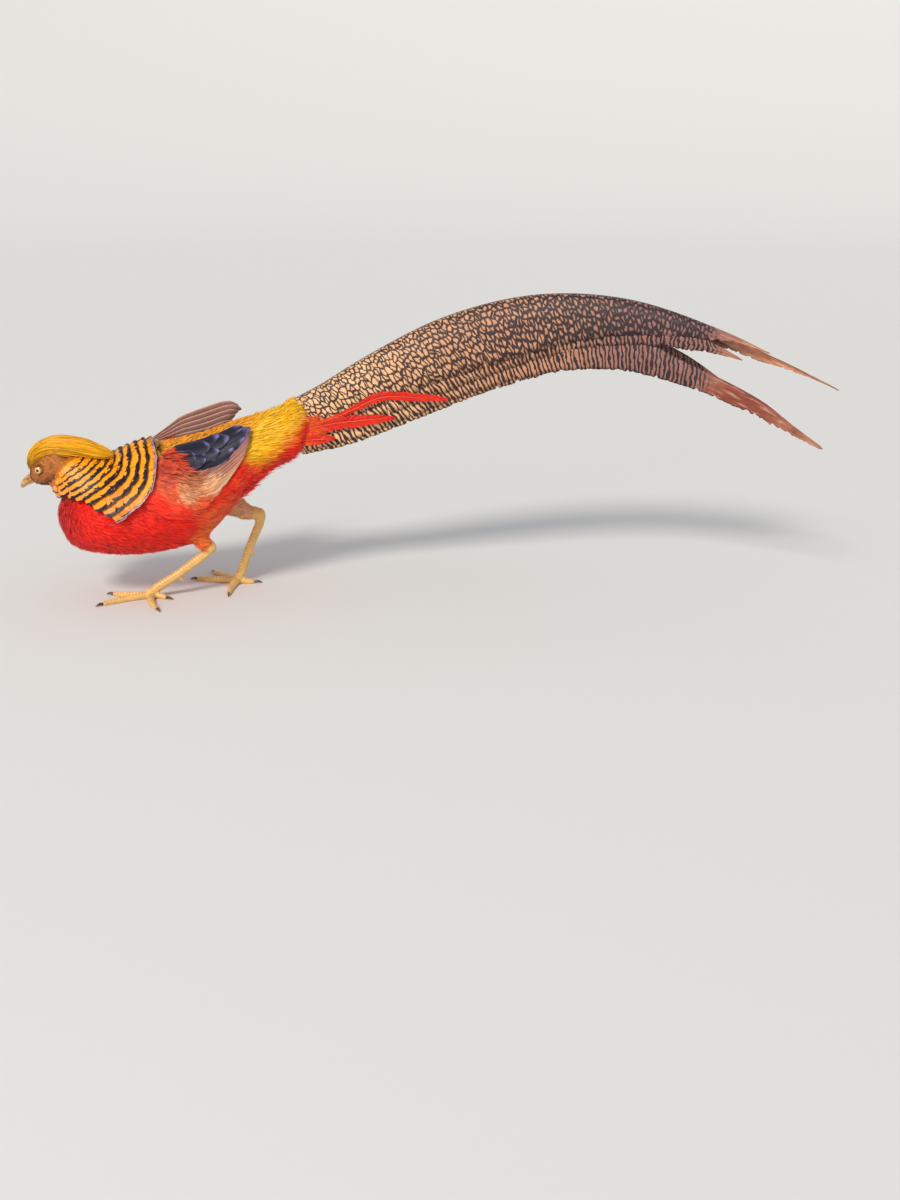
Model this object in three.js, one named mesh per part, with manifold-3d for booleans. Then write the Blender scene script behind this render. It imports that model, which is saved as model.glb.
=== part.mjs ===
// Golden pheasant cock, a still life-size model standing in mid step.
// Millimetres, +Z up. The bill points to -X, the tail runs to +X, and -Y is the bird's left side.
// The shapes are laid out from a point on the ground below the breast, and the finished group is
// moved so that the middle of its box, at the level of the soles, is the origin.
import * as THREE from 'three';
import { mergeVertices } from 'three/addons/utils/BufferGeometryUtils.js';
import Module from 'manifold-3d';

const wasm = await Module();
wasm.setup();

// Driving dimensions
const gap = 0.3; // between neighbouring pieces
const bodySides = 24;
const headSides = 16;
const smallSides = 12; // of the bill and the crest
const limbSides = 8;
const farAway = 800; // half the size of the blocks that cut a solid in two

// Trunk sections: place along the body, height of the middle, half width, half height
const trunkSections = [
  [-132, 90, 8, 9],
  [-124, 87, 23, 26],
  [-102, 90, 40, 43],
  [-64, 97, 49, 56],
  [-20, 103, 51, 59],
  [20, 113, 49, 56],
  [58, 139, 42, 43],
  [92, 157, 34, 34],
  [126, 172, 27, 29],
];
const rumpStart = 66;
const rumpEnd = 126;
const trunkSteps = 15;
const breastEnd = -100; // ahead of this the breast rounds off

// Neck sections: the middle of each ring and its radius
const neckSections = [
  [-80, 0, 110, 38],
  [-98, -1, 122, 33],
  [-112, -3, 133, 27],
  [-119, -5, 142, 21],
  [-124, -6, 148, 15],
];

// Head: its middle, how far it is bent down and turned away to the right
const headMiddle = [-139.7, 0, 137.7];
const headPitch = 30;
const headTurn = 18;
// Head sections: forward, up, half width, half height
const headSections = [
  [19, -1.5, 5, 6],
  [15.5, 0, 8.5, 10],
  [10, 0, 11.5, 14],
  [3, 0, 13.8, 17],
  [-6, 0, 15, 18.5],
  [-15, 0, 14.5, 18],
  [-23, -1, 12, 14.5],
];
const eyeRadius = 4.9;
const eyePlace = [3, 4, 10.6]; // forward, up and to the side of the middle of the head
const billSections = [
  [17.6, 0, 5.2, 5.4],
  [22, 0.3, 4.5, 4.9],
  [27, 0, 3.3, 3.9],
  [32, -1.4, 1.9, 2.6],
  [36, -3.6, 0.5, 0.9],
];
const lowerBillEnd = 33.5;
const gapeDrop = 1.4; // the cut between the two halves of the bill lies this far under its middle

// Crest sections: forward and up on the head for the first ones, half width, half height
const crestSections = [
  [15, 9, 3, 1.5],
  [9, 16, 8, 4],
  [-4, 21.5, 12, 6],
  [-22, 19, 14, 7],
  [-42, 5, 13, 7],
  [-58, -12, 9, 4.5],
  [-68, -24, 3, 1.5],
];

// Cape outline seen from the side, and how far it stands out over the body
const capeOutline = [
  [-34, 172],
  [-27, 146],
  [-35, 122],
  [-50, 106],
  [-66, 95],
  [-90, 105],
  [-112, 116],
  [-129, 112],
  [-134, 122],
  [-124, 138],
  [-108, 146],
  [-100, 190],
  [-60, 190],
];
const capeDepth = 8;

// Wing fields seen from the side, and how far each one stands out over the body
const shoulderOutline = [
  [-42, 150],
  [-34, 158],
  [-8, 163],
  [2, 150],
  [8, 135],
  [2, 118],
  [-12, 106],
  [-25, 104],
  [-38, 122],
];
const tertialOutline = [
  [-8, 163],
  [14, 167],
  [43, 175],
  [66, 184],
  [64, 170],
  [45, 155],
  [22, 146],
  [6, 142],
  [2, 150],
];
const primaryOutline = [
  [8, 135],
  [6, 142],
  [22, 146],
  [45, 155],
  [64, 170],
  [62, 158],
  [47, 138],
  [25, 118],
  [2, 106],
  [-12, 106],
  [2, 118],
];
const shoulderDepth = 6.5;
const tertialDepth = 5.5;
const primaryDepth = 4;
// The right wing is held a little open: its long feathers stand up beside the back
const openWingPlace = 24;
const raisedBlade = [
  [-22, 41, 142, 168],
  [0, 43, 144, 176],
  [25, 45, 150, 184],
  [48, 46, 160, 190],
  [60, 46, 176, 189],
];
const raisedBladeThickness = 2.4;

// Tail: the line through the middle of the bundle, its height, and its half width at the lower edge
const tailLine = [
  [112, 3, 169],
  [160, 3, 185.5],
  [207, 1, 207.5],
  [290, -12, 244.5],
  [368, -34, 265.5],
  [445, -64, 267.5],
  [520, -100, 247],
  [581, -128, 219],
  [648, -158, 183],
];
const tailHeight = [
  [0, 49],
  [0.12, 66],
  [0.28, 77],
  [0.45, 76],
  [0.62, 66],
  [0.8, 60],
  [1, 60],
];
const tailHalfWidth = [
  [0, 25],
  [0.25, 30],
  [0.6, 24],
  [1, 8],
];
const vaneThickness = 1.2;
const vaneStep = 2.4; // from one layer of the bundle to the next
const featherSteps = 16;
const covertSteps = 6;

// Tail feathers: their end along the bundle, layer, and upper and lower edge across the roof,
// from 0 at the ridge to 1 at the lower edge of the bundle
const tailFeathers = {
  centre_left: {
    side: -1,
    end: 0.9,
    layer: 0,
    edges: [
      [0, 0.02, 0.74],
      [0.3, 0.02, 0.84],
      [0.5, 0.02, 0.86],
      [0.7, 0.02, 0.7],
      [0.85, 0.03, 0.5],
      [1, 0.12, 0.17],
    ],
  },
  centre_right: {
    side: 1,
    end: 0.975,
    layer: 0,
    edges: [
      [0, 0.02, 0.74],
      [0.3, 0.02, 0.84],
      [0.5, 0.02, 0.84],
      [0.7, 0.02, 0.66],
      [0.85, 0.04, 0.42],
      [1, 0.06, 0.1],
    ],
  },
  side_left_1: {
    side: -1,
    end: 0.86,
    layer: 1,
    edges: [
      [0, 0.3, 0.86],
      [0.4, 0.4, 0.93],
      [0.65, 0.34, 0.86],
      [0.85, 0.26, 0.68],
      [1, 0.44, 0.48],
    ],
  },
  side_right_1: {
    side: 1,
    end: 0.84,
    layer: 1,
    edges: [
      [0, 0.3, 0.86],
      [0.4, 0.4, 0.93],
      [0.65, 0.34, 0.84],
      [0.85, 0.26, 0.66],
      [1, 0.44, 0.48],
    ],
  },
  side_left_2: {
    side: -1,
    end: 1,
    layer: 2,
    edges: [
      [0, 0.6, 0.97],
      [0.3, 0.64, 1],
      [0.62, 0.68, 1],
      [0.78, 0.83, 1],
      [0.9, 0.91, 1],
      [1, 0.97, 1],
    ],
  },
  side_right_2: {
    side: 1,
    end: 0.8,
    layer: 2,
    edges: [
      [0, 0.6, 0.97],
      [0.3, 0.64, 1],
      [0.62, 0.68, 1],
      [0.86, 0.74, 0.98],
      [1, 0.88, 0.92],
    ],
  },
};
const shortFeather = {
  end: 0.5,
  layer: 3,
  edges: [
    [0, 0.74, 1],
    [0.4, 0.8, 1.02],
    [0.8, 0.84, 1.02],
    [1, 0.96, 1],
  ],
};
tailFeathers.side_left_3 = { side: -1, ...shortFeather };
tailFeathers.side_right_3 = { side: 1, ...shortFeather };

// Scarlet coverts lie outside the bundle, three on each side
const tailCoverts = [
  {
    end: 0.27,
    edges: [
      [0, 0.48, 0.62],
      [0.5, 0.56, 0.69],
      [0.8, 0.72, 0.84],
      [1, 0.92, 0.94],
    ],
  },
  {
    end: 0.18,
    edges: [
      [0, 0.7, 0.84],
      [0.5, 0.72, 0.85],
      [1, 0.82, 0.84],
    ],
  },
  {
    end: 0.11,
    edges: [
      [0, 0.9, 0.99],
      [0.5, 0.9, 0.985],
      [1, 0.93, 0.95],
    ],
  },
];
const covertLift = 2.4;

// Legs: the middle of each section and its two half thicknesses. A toe is its reach from the
// joint of the foot and how far it bows to the side
const legs = {
  left: {
    thigh: [
      [-6, -27, 88, 19, 15],
      [6, -25, 70, 14.5, 12],
      [14, -22, 57, 9.5, 8.5],
      [19, -20, 50, 6.5, 6],
    ],
    shank: [
      [19.5, -20, 50, 5.8, 5.2],
      [14, -20, 43.5, 4.6, 4],
      [-12, -19, 25, 4.1, 3.6],
      [-38, -18, 9, 4.6, 4.2],
    ],
    hub: [-42, -18, 6],
    toes: { middle: [-50, -17, -4], outer: [3, -44, -6], inner: [-38, 16, 5], hind: [15, -8, 2] },
    spur: [-14, -19, 24],
  },
  right: {
    thigh: [
      [24, 27, 108, 21, 15],
      [44, 25, 88, 15, 12],
      [62, 21, 77, 10, 9],
      [77, 19, 73, 6.5, 6],
    ],
    shank: [
      [78, 19, 72.5, 5.8, 5.2],
      [76.5, 19, 63, 4.6, 4],
      [65, 18.5, 38, 4.1, 3.6],
      [55, 18, 10, 4.6, 4.2],
    ],
    hub: [52, 18, 6],
    toes: { middle: [-42, 17, 4], outer: [-22, 37, 5], inner: [-14, -42, -4], hind: [16, -6, -2] },
    spur: [63, 18.5, 34],
  },
};
const shankDepth = 4;
const jointRadius = 5.6;
const toeRoot = 3.9;
const toeTip = 2.3;
const toeSink = 0.7; // how deep the soles are cut flat
const clawLength = 9;
const spurLength = 6;

// Finishes
const finish = {
  scarlet: { color: 0xd3200f, roughness: 0.75, metalness: 0 },
  gold: { color: 0xf0a010, roughness: 0.7, metalness: 0 },
  tan: { color: 0xb06a2c, roughness: 0.8, metalness: 0 },
  cape: { color: 0xe8871e, roughness: 0.6, metalness: 0 },
  maroon: { color: 0xa33018, roughness: 0.7, metalness: 0 },
  blue: { color: 0x1b2150, roughness: 0.35, metalness: 0 },
  brown: { color: 0x8a5c45, roughness: 0.7, metalness: 0 },
  tail: { color: 0x8a5a3c, roughness: 0.7, metalness: 0 },
  leg: { color: 0xd8a860, roughness: 0.55, metalness: 0 },
  horn: { color: 0xb89a68, roughness: 0.4, metalness: 0 },
  eye: { color: 0xe8d890, roughness: 0.1, metalness: 0 },
};

const group = new THREE.Group();

const vector = (x, y, z) => new THREE.Vector3(x, y, z);

const radians = (degrees) => THREE.MathUtils.degToRad(degrees);

// A ring of points round a middle, starting on the side that `across` points to
function ring(middle, across, up, halfWidth, halfHeight, sides) {
  const points = [];
  for (let i = 0; i < sides; i += 1) {
    const angle = (2 * Math.PI * (i + 0.5)) / sides;
    points.push(middle.clone()
      .addScaledVector(across, halfWidth * Math.cos(angle))
      .addScaledVector(up, halfHeight * Math.sin(angle)));
  }
  return points;
}

// A closed solid through rings of one even number of points, closed at both ends
function loft(rings) {
  const sides = rings[0].length;
  const last = (rings.length - 1) * sides;
  const index = [];
  for (let r = 0; r < last; r += sides) {
    for (let i = 0; i < sides; i += 1) {
      const j = (i + 1) % sides;
      index.push(r + i, r + j, r + j + sides, r + i, r + j + sides, r + i + sides);
    }
  }
  for (let i = 0; i < sides / 2 - 1; i += 1) {
    const opposite = sides - 1 - i;
    index.push(i, opposite, opposite - 1, i, opposite - 1, i + 1);
    index.push(last + i, last + i + 1, last + opposite - 1, last + i, last + opposite - 1, last + opposite);
  }
  const vertices = new Float32Array(rings.flat().flatMap((p) => [p.x, p.y, p.z]));
  return new wasm.Manifold(new wasm.Mesh({
    numProp: 3,
    vertProperties: vertices,
    triVerts: new Uint32Array(signedVolume(vertices, index) < 0 ? index.reverse() : index),
  }));
}

function signedVolume(vertices, index) {
  const corner = (i) => vector(vertices[3 * i], vertices[3 * i + 1], vertices[3 * i + 2]);
  let sum = 0;
  for (let i = 0; i < index.length; i += 3) {
    sum += corner(index[i]).dot(corner(index[i + 1]).cross(corner(index[i + 2])));
  }
  return sum / 6;
}

function solidOf(geometry) {
  const bare = geometry.clone();
  bare.deleteAttribute('normal');
  bare.deleteAttribute('uv');
  const merged = mergeVertices(bare, 1e-4);
  return new wasm.Manifold(new wasm.Mesh({
    numProp: 3,
    vertProperties: new Float32Array(merged.attributes.position.array),
    triVerts: new Uint32Array(merged.index.array),
  }));
}

function addPiece(name, solid, finishName) {
  const mesh = solid.getMesh();
  const geometry = new THREE.BufferGeometry();
  geometry.setAttribute('position', new THREE.BufferAttribute(mesh.vertProperties, 3));
  geometry.setIndex(new THREE.BufferAttribute(mesh.triVerts, 1));
  geometry.computeVertexNormals();
  const piece = new THREE.Mesh(geometry, new THREE.MeshStandardMaterial(finish[finishName]));
  piece.name = name;
  group.add(piece);
}

// A block that fills everything beyond a plane through a point
function beyond(point, normal) {
  const block = new THREE.BoxGeometry(farAway * 2, farAway * 2, farAway * 2);
  block.translate(0, 0, farAway);
  const turn = new THREE.Quaternion().setFromUnitVectors(vector(0, 0, 1), normal.clone().normalize());
  block.applyQuaternion(turn);
  block.translate(point.x, point.y, point.z);
  return solidOf(block);
}

// A side outline drawn through the whole width of the bird
function curtain(outline) {
  const shape = new THREE.Shape(outline.map(([x, z]) => new THREE.Vector2(x, z)));
  const block = new THREE.ExtrudeGeometry(shape, { depth: farAway, bevelEnabled: false });
  block.rotateX(Math.PI / 2);
  block.translate(0, farAway / 2, 0);
  return solidOf(block);
}

// The same outline moved outward by the gap all round
function widened(outline) {
  const middleX = outline.reduce((sum, [x]) => sum + x, 0) / outline.length;
  const middleZ = outline.reduce((sum, [, z]) => sum + z, 0) / outline.length;
  return outline.map(([x, z]) => {
    const reach = Math.hypot(x - middleX, z - middleZ);
    const factor = (reach + 2 * gap) / reach;
    return [middleX + (x - middleX) * factor, middleZ + (z - middleZ) * factor];
  });
}

// A smooth value between knots [place, value]
function smoothAt(knots, place, column = 1) {
  let i = 0;
  while (i < knots.length - 2 && place > knots[i + 1][0]) {
    i += 1;
  }
  const slope = (k) => {
    const before = knots[Math.max(k - 1, 0)];
    const after = knots[Math.min(k + 1, knots.length - 1)];
    return (after[column] - before[column]) / (after[0] - before[0]);
  };
  const span = knots[i + 1][0] - knots[i][0];
  const t = (place - knots[i][0]) / span;
  const from = knots[i][column];
  const to = knots[i + 1][column];
  return from * (1 - t) ** 2 * (1 + 2 * t) + to * t ** 2 * (3 - 2 * t)
    + span * (slope(i) * t * (1 - t) ** 2 - slope(i + 1) * t ** 2 * (1 - t));
}

// Body forms, each of which can be drawn larger all round by `grow`
const acrossBody = vector(0, 1, 0);
const upright = vector(0, 0, 1);

function trunkForm(grow) {
  const first = trunkSections[0][0];
  const rings = [];
  for (let i = 0; i <= trunkSteps; i += 1) {
    // The rings stand closer together where the breast is round
    const x = first + (rumpEnd - first) * (i / trunkSteps) ** 1.25;
    const push = x < breastEnd ? -grow : i === trunkSteps ? grow : 0;
    rings.push(ring(
      vector(x + push, 0, smoothAt(trunkSections, x, 1)),
      acrossBody,
      upright,
      smoothAt(trunkSections, x, 2) + grow,
      smoothAt(trunkSections, x, 3) + grow,
      bodySides,
    ));
  }
  return loft(rings);
}

function neckForm(grow) {
  const middles = neckSections.map(([x, y, z]) => vector(x, y, z));
  const line = new THREE.CatmullRomCurve3(middles);
  const rings = neckSections.map(([, , , radius], i) => {
    const along = line.getTangent(i / (neckSections.length - 1));
    const side = new THREE.Vector3().crossVectors(upright, along).normalize();
    const up = new THREE.Vector3().crossVectors(along, side);
    const push = i === 0 ? -grow : i === neckSections.length - 1 ? grow : 0;
    const middle = middles[i].clone().addScaledVector(along, push);
    return ring(middle, side, up, radius + grow, radius + grow, headSides);
  });
  return loft(rings);
}

// The head's own directions
const turn = radians(headTurn);
const pitch = radians(headPitch);
const headForward = vector(
  -Math.cos(turn) * Math.cos(pitch),
  Math.sin(turn) * Math.cos(pitch),
  -Math.sin(pitch),
);
const headSide = vector(-Math.sin(turn), -Math.cos(turn), 0); // to the bird's left
const headUp = new THREE.Vector3().crossVectors(headForward, headSide).negate();
headUp.multiplyScalar(Math.sign(headUp.z));

function onHead(forward, up, side = 0) {
  return vector(...headMiddle)
    .addScaledVector(headForward, forward)
    .addScaledVector(headUp, up)
    .addScaledVector(headSide, side);
}

function headForm(grow) {
  return loft(headSections.map(([forward, up, width, height], i) => {
    const push = i === 0 ? grow : i === headSections.length - 1 ? -grow : 0;
    return ring(onHead(forward + push, up), headSide, headUp, width + grow, height + grow, headSides);
  }));
}

function eyeBall(side, grow) {
  const ball = new THREE.SphereGeometry(eyeRadius + grow, 14, 8);
  const [forward, up, out] = eyePlace;
  const place = onHead(forward, up, out * side);
  ball.translate(place.x, place.y, place.z);
  return solidOf(ball);
}

function billForm(grow) {
  return loft(billSections.map(([forward, up, width, height]) => (
    ring(onHead(forward, up), headSide, headUp, width + grow, height + grow, smallSides)
  )));
}

function crestForm(grow) {
  const places = crestSections.map(([forward, up]) => onHead(forward, up));
  const line = new THREE.CatmullRomCurve3(places);
  return loft(crestSections.map(([, , width, height], i) => {
    const along = line.getTangent(i / (crestSections.length - 1));
    const up = new THREE.Vector3().crossVectors(along, headSide).normalize();
    return ring(places[i], headSide, up, width + grow, height + grow, smallSides);
  }));
}

// Flesh
const leftHalf = beyond(vector(0, -gap / 2, 0), vector(0, -1, 0));
const rightHalf = beyond(vector(0, gap / 2, 0), vector(0, 1, 0));
const body = trunkForm(0);
const bodyClear = trunkForm(gap);
const neckClear = neckForm(gap);
const headClear = headForm(gap);
const crestClear = crestForm(gap);

const trunkEnd = beyond(vector(rumpStart - gap / 2, 0, 0), vector(1, 0, 0));
const rumpFront = beyond(vector(rumpStart + gap / 2, 0, 0), vector(1, 0, 0));
addPiece('trunk', body.subtract(trunkEnd).subtract(neckClear), 'scarlet');
addPiece('rump', body.intersect(rumpFront), 'gold');
addPiece('neck', neckForm(0).subtract(headClear), 'tan');
addPiece('head', headForm(0)
  .subtract(eyeBall(1, gap))
  .subtract(eyeBall(-1, gap))
  .subtract(billForm(gap))
  .subtract(crestClear), 'tan');
addPiece('eye_left', eyeBall(1, 0), 'eye');
addPiece('eye_right', eyeBall(-1, 0), 'eye');

// Bill
const gape = onHead(0, -gapeDrop);
addPiece('bill_upper', billForm(0).intersect(beyond(gape, headUp)), 'horn');
addPiece('bill_lower', billForm(0)
  .subtract(beyond(gape.clone().addScaledVector(headUp, -gap), headUp))
  .subtract(beyond(onHead(lowerBillEnd, 0), headForward)), 'horn');

// Crest and cape
const neckAndBody = trunkForm(gap).add(neckClear);
addPiece('crest', crestForm(0).subtract(neckAndBody), 'gold');
const capeShell = trunkForm(capeDepth)
  .add(neckForm(capeDepth))
  .intersect(curtain(capeOutline))
  .subtract(neckAndBody)
  .subtract(headForm(gap))
  .subtract(crestClear);
addPiece('cape_left', capeShell.intersect(leftHalf), 'cape');
addPiece('cape_right', capeShell.intersect(rightHalf), 'cape');

// Wings
const capeClear = trunkForm(capeDepth + gap)
  .add(neckForm(capeDepth + gap))
  .intersect(curtain(widened(capeOutline)));
// The opened right wing leaves the middle of the back free
const wingSideRight = beyond(vector(0, openWingPlace, 0), vector(0, 1, 0));
const wingFields = [
  ['shoulder', shoulderOutline, shoulderDepth, 'maroon'],
  ['tertials', tertialOutline, tertialDepth, 'blue'],
  ['primaries', primaryOutline, primaryDepth, 'brown'],
];
for (const [sideName, half] of [['left', leftHalf], ['right', wingSideRight]]) {
  let taken = capeClear.add(bodyClear);
  for (const [fieldName, outline, depth, finishName] of wingFields) {
    const field = trunkForm(depth).intersect(curtain(outline)).intersect(half);
    addPiece(`wing_${sideName}_${fieldName}`, field.subtract(taken), finishName);
    taken = taken.add(trunkForm(depth + gap).intersect(curtain(widened(outline))).intersect(half));
  }
  if (sideName === 'right') {
    const blade = loft(raisedBlade.map(([x, y, low, high]) => (
      ring(
        vector(x, y, (low + high) / 2),
        acrossBody,
        upright,
        raisedBladeThickness / 2,
        (high - low) / 2,
        smallSides,
      )
    )));
    addPiece('wing_right_raised', blade.subtract(taken), 'brown');
  }
}

// Tail
const tailCurve = new THREE.CatmullRomCurve3(tailLine.map(([x, y, z]) => vector(x, y, z)));
const tailRoot = beyond(vector(rumpEnd + 2 * gap, 0, 0), vector(1, 0, 0));

// A point of the roof-shaped bundle: place along it, place across one slope, and lift off its face
function onTail(place, across, side, lift) {
  const along = tailCurve.getTangentAt(place);
  const sideways = new THREE.Vector3().crossVectors(upright, along).normalize();
  const up = new THREE.Vector3().crossVectors(along, sideways);
  const height = smoothAt(tailHeight, place);
  const halfWidth = smoothAt(tailHalfWidth, place);
  const outward = new THREE.Vector2(halfWidth, 2 * height * across).normalize();
  return tailCurve.getPointAt(place)
    .addScaledVector(up, height / 2 - height * across ** 2 + lift * outward.x)
    .addScaledVector(sideways, side * (halfWidth * across + lift * outward.y));
}

// One feather of the bundle, as a strip that follows the roof
function vane({ side, end, edges }, lift, steps, strips) {
  const rings = [];
  for (let i = 0; i <= steps; i += 1) {
    const share = i / steps;
    const top = smoothAt(edges, share, 1);
    const low = smoothAt(edges, share, 2);
    const outer = [];
    const inner = [];
    for (let j = 0; j <= strips; j += 1) {
      const across = top + ((low - top) * j) / strips;
      outer.push(onTail(share * end, across, side, lift));
      inner.unshift(onTail(share * end, across, side, lift - vaneThickness));
    }
    rings.push([...outer, ...inner]);
  }
  return loft(rings).intersect(tailRoot);
}

for (const [name, feather] of Object.entries(tailFeathers)) {
  const strips = feather.layer === 0 ? 3 : 2;
  addPiece(`tail_${name}`, vane(feather, -feather.layer * vaneStep, featherSteps, strips), 'tail');
}
for (const [sideName, side] of [['left', -1], ['right', 1]]) {
  tailCoverts.forEach((covert, i) => {
    const solid = vane({ side, ...covert }, covertLift, covertSteps, 2);
    addPiece(`tail_covert_${sideName}_${i + 1}`, solid, 'scarlet');
  });
}

// Legs
function limb(sections, grow) {
  const middles = sections.map(([x, y, z]) => vector(x, y, z));
  return loft(sections.map(([, , , deep, wide], i) => {
    const before = middles[Math.max(i - 1, 0)];
    const after = middles[Math.min(i + 1, middles.length - 1)];
    const along = after.clone().sub(before).normalize();
    const fore = new THREE.Vector3().crossVectors(along, acrossBody).normalize();
    const side = new THREE.Vector3().crossVectors(fore, along);
    return ring(middles[i].clone().addScaledVector(along, i === 0 ? -grow : 0), side, fore, wide + grow,
      deep + grow, limbSides);
  }));
}

// A tapering tube through points, with a radius at each
function taper(points, radii) {
  return loft(points.map((point, i) => {
    const before = points[Math.max(i - 1, 0)];
    const after = points[Math.min(i + 1, points.length - 1)];
    const along = after.clone().sub(before).normalize();
    const side = new THREE.Vector3().crossVectors(upright, along).normalize();
    const up = new THREE.Vector3().crossVectors(along, side);
    return ring(point, side, up, radii[i], radii[i], limbSides);
  }));
}

const underground = beyond(vector(0, 0, 0), vector(0, 0, -1));

// A place along a toe: its share of the way from the joint of the foot, at a height
function onToe(hub, [x, y, bow], share, height) {
  const reach = Math.hypot(x, y);
  return vector(
    hub[0] + x * share - (y / reach) * bow * 2 * share * (1 - share),
    hub[1] + y * share + (x / reach) * bow * 2 * share * (1 - share),
    height,
  );
}

function footForm(leg, grow) {
  const ball = new THREE.SphereGeometry(jointRadius + grow, 10, 8);
  ball.translate(...leg.hub);
  let foot = solidOf(ball);
  for (const toe of Object.values(leg.toes)) {
    const shares = [0, 0.35, 0.7, 1];
    const radii = shares.map((share) => toeRoot + (toeTip - toeRoot) * share);
    const points = shares.map((share, i) => onToe(leg.hub, toe, share, radii[i] - toeSink));
    foot = foot.add(taper(points, radii.map((radius) => radius + grow)));
  }
  return foot.subtract(underground);
}

function claw(leg, toe) {
  const root = onToe(leg.hub, toe, 1, 0);
  const way = root.clone().sub(onToe(leg.hub, toe, 0.9, 0)).normalize();
  const at = (out, height) => root.clone().addScaledVector(way, out).setZ(height);
  return taper(
    [at(2 * gap, 2), at(clawLength * 0.4, 2.4), at(clawLength * 0.75, 1.7), at(clawLength, 0.6)],
    [1.7, 1.5, 1, 0.4],
  ).subtract(underground);
}

function spurOf(leg) {
  const root = vector(...leg.spur);
  const downShank = vector(...leg.shank.at(-1)).sub(vector(...leg.shank[1])).normalize();
  const back = new THREE.Vector3().crossVectors(downShank, acrossBody).normalize();
  back.multiplyScalar(Math.sign(back.x));
  const at = (out) => root.clone().addScaledVector(back, out);
  return taper([at(0), at(shankDepth + spurLength / 2), at(shankDepth + spurLength)], [2.2, 1.4, 0.4]);
}

for (const [sideName, leg] of Object.entries(legs)) {
  const thigh = limb(leg.thigh, 0).subtract(bodyClear).subtract(limb(leg.shank, gap));
  const shank = limb(leg.shank, 0).subtract(footForm(leg, gap)).add(spurOf(leg));
  addPiece(`thigh_${sideName}`, thigh, 'scarlet');
  addPiece(`shank_${sideName}`, shank, 'leg');
  addPiece(`foot_${sideName}`, footForm(leg, 0), 'leg');
  for (const [toeName, toe] of Object.entries(leg.toes)) {
    addPiece(`claw_${sideName}_${toeName}`, claw(leg, toe), 'horn');
  }
}

const box = new THREE.Box3().setFromObject(group);
group.position.set(-(box.min.x + box.max.x) / 2, -(box.min.y + box.max.y) / 2, -box.min.z);

export default group;
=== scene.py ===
import math

import bpy
import numpy as np
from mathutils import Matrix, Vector
from mathutils.bvhtree import BVHTree


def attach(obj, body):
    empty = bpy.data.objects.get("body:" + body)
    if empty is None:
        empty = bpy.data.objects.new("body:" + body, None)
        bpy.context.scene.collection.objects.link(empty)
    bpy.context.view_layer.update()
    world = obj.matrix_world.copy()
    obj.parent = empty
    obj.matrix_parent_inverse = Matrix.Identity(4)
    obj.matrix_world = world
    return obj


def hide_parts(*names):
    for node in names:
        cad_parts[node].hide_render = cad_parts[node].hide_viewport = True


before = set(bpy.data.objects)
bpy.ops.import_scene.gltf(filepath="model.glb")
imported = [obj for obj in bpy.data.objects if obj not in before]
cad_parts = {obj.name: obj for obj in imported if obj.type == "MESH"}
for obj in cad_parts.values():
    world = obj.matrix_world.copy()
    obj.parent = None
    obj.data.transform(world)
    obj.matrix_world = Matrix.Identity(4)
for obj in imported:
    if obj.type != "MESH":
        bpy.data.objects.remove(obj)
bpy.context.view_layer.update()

# The bird is laid out in millimetres about its breast, bill towards -x and its left side at -y.
layoutShift = np.array((-240.227, 47.1138, 0.0))
dice = np.random.default_rng(41)
fullTurn = 6.283
tuftPatch = 0.003  # how wide a tuft is on the map it is baked by
barbDepth = 0.0002


def metres(points):
    return (np.asarray(points, float) + layoutShift) / 1000


def millimetres(points):
    return np.asarray(points, float) * 1000 - layoutShift


def tone(red, green, blue):
    # a colour as a paint chart gives it, in light the shaders use
    chart = np.array((red, green, blue), float) / 255
    return np.where(chart <= 0.04045, chart / 12.92, ((chart + 0.055) / 1.055) ** 2.4)


def unit(vectors):
    return vectors / np.maximum(np.linalg.norm(vectors, axis=-1, keepdims=True), 1e-9)


def ease(values, low, high):
    t = np.clip((values - low) / (high - low), 0, 1)
    return t * t * (3 - 2 * t)


def blendTones(first, second, share):
    share = np.asarray(share)[..., None]
    return first * (1 - share) + second * share


def allOf(colour, count):
    return np.repeat(colour[None], count, 0)


def smoothAt(knots, places, column=1):
    # a smooth curve through the knots, flat neither before nor after them
    table = np.asarray(knots, float)
    x, y = table[:, 0], table[:, column]
    slope = np.gradient(y, x)
    slope[1:-1] = (y[2:] - y[:-2]) / (x[2:] - x[:-2])
    p = np.clip(np.asarray(places, float), x[0], x[-1])
    i = np.clip(np.searchsorted(x, p) - 1, 0, len(x) - 2)
    span = x[i + 1] - x[i]
    t = (p - x[i]) / span
    return (y[i] * (1 - t) ** 2 * (1 + 2 * t) + y[i + 1] * t**2 * (3 - 2 * t)
            + span * (slope[i] * t * (1 - t) ** 2 - slope[i + 1] * t**2 * (1 - t)))


def wander(points, size, seed):
    # slow even noise between -1 and 1, one value a point
    turn = np.random.default_rng(seed)
    total = np.zeros(len(points))
    for _ in range(5):
        way = turn.normal(size=3)
        total += np.sin(points @ (way / size) + turn.uniform(0, fullTurn))
    return total / 2.6


def deselect():
    if bpy.context.object and bpy.context.object.mode != "OBJECT":
        bpy.ops.object.mode_set(mode="OBJECT")
    bpy.ops.object.select_all(action="DESELECT")


def pick(piece):
    deselect()
    piece.select_set(True)
    bpy.context.view_layer.objects.active = piece
    return piece


def applyAll(piece):
    pick(piece)
    for modifier in list(piece.modifiers):
        bpy.ops.object.modifier_apply(modifier=modifier.name)


def finishPiece(piece, material, slot, *nodes):
    piece.data.materials.clear()
    piece.data.materials.append(material)
    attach(piece, "root")
    if nodes:
        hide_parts(*nodes)
    return piece


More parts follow.
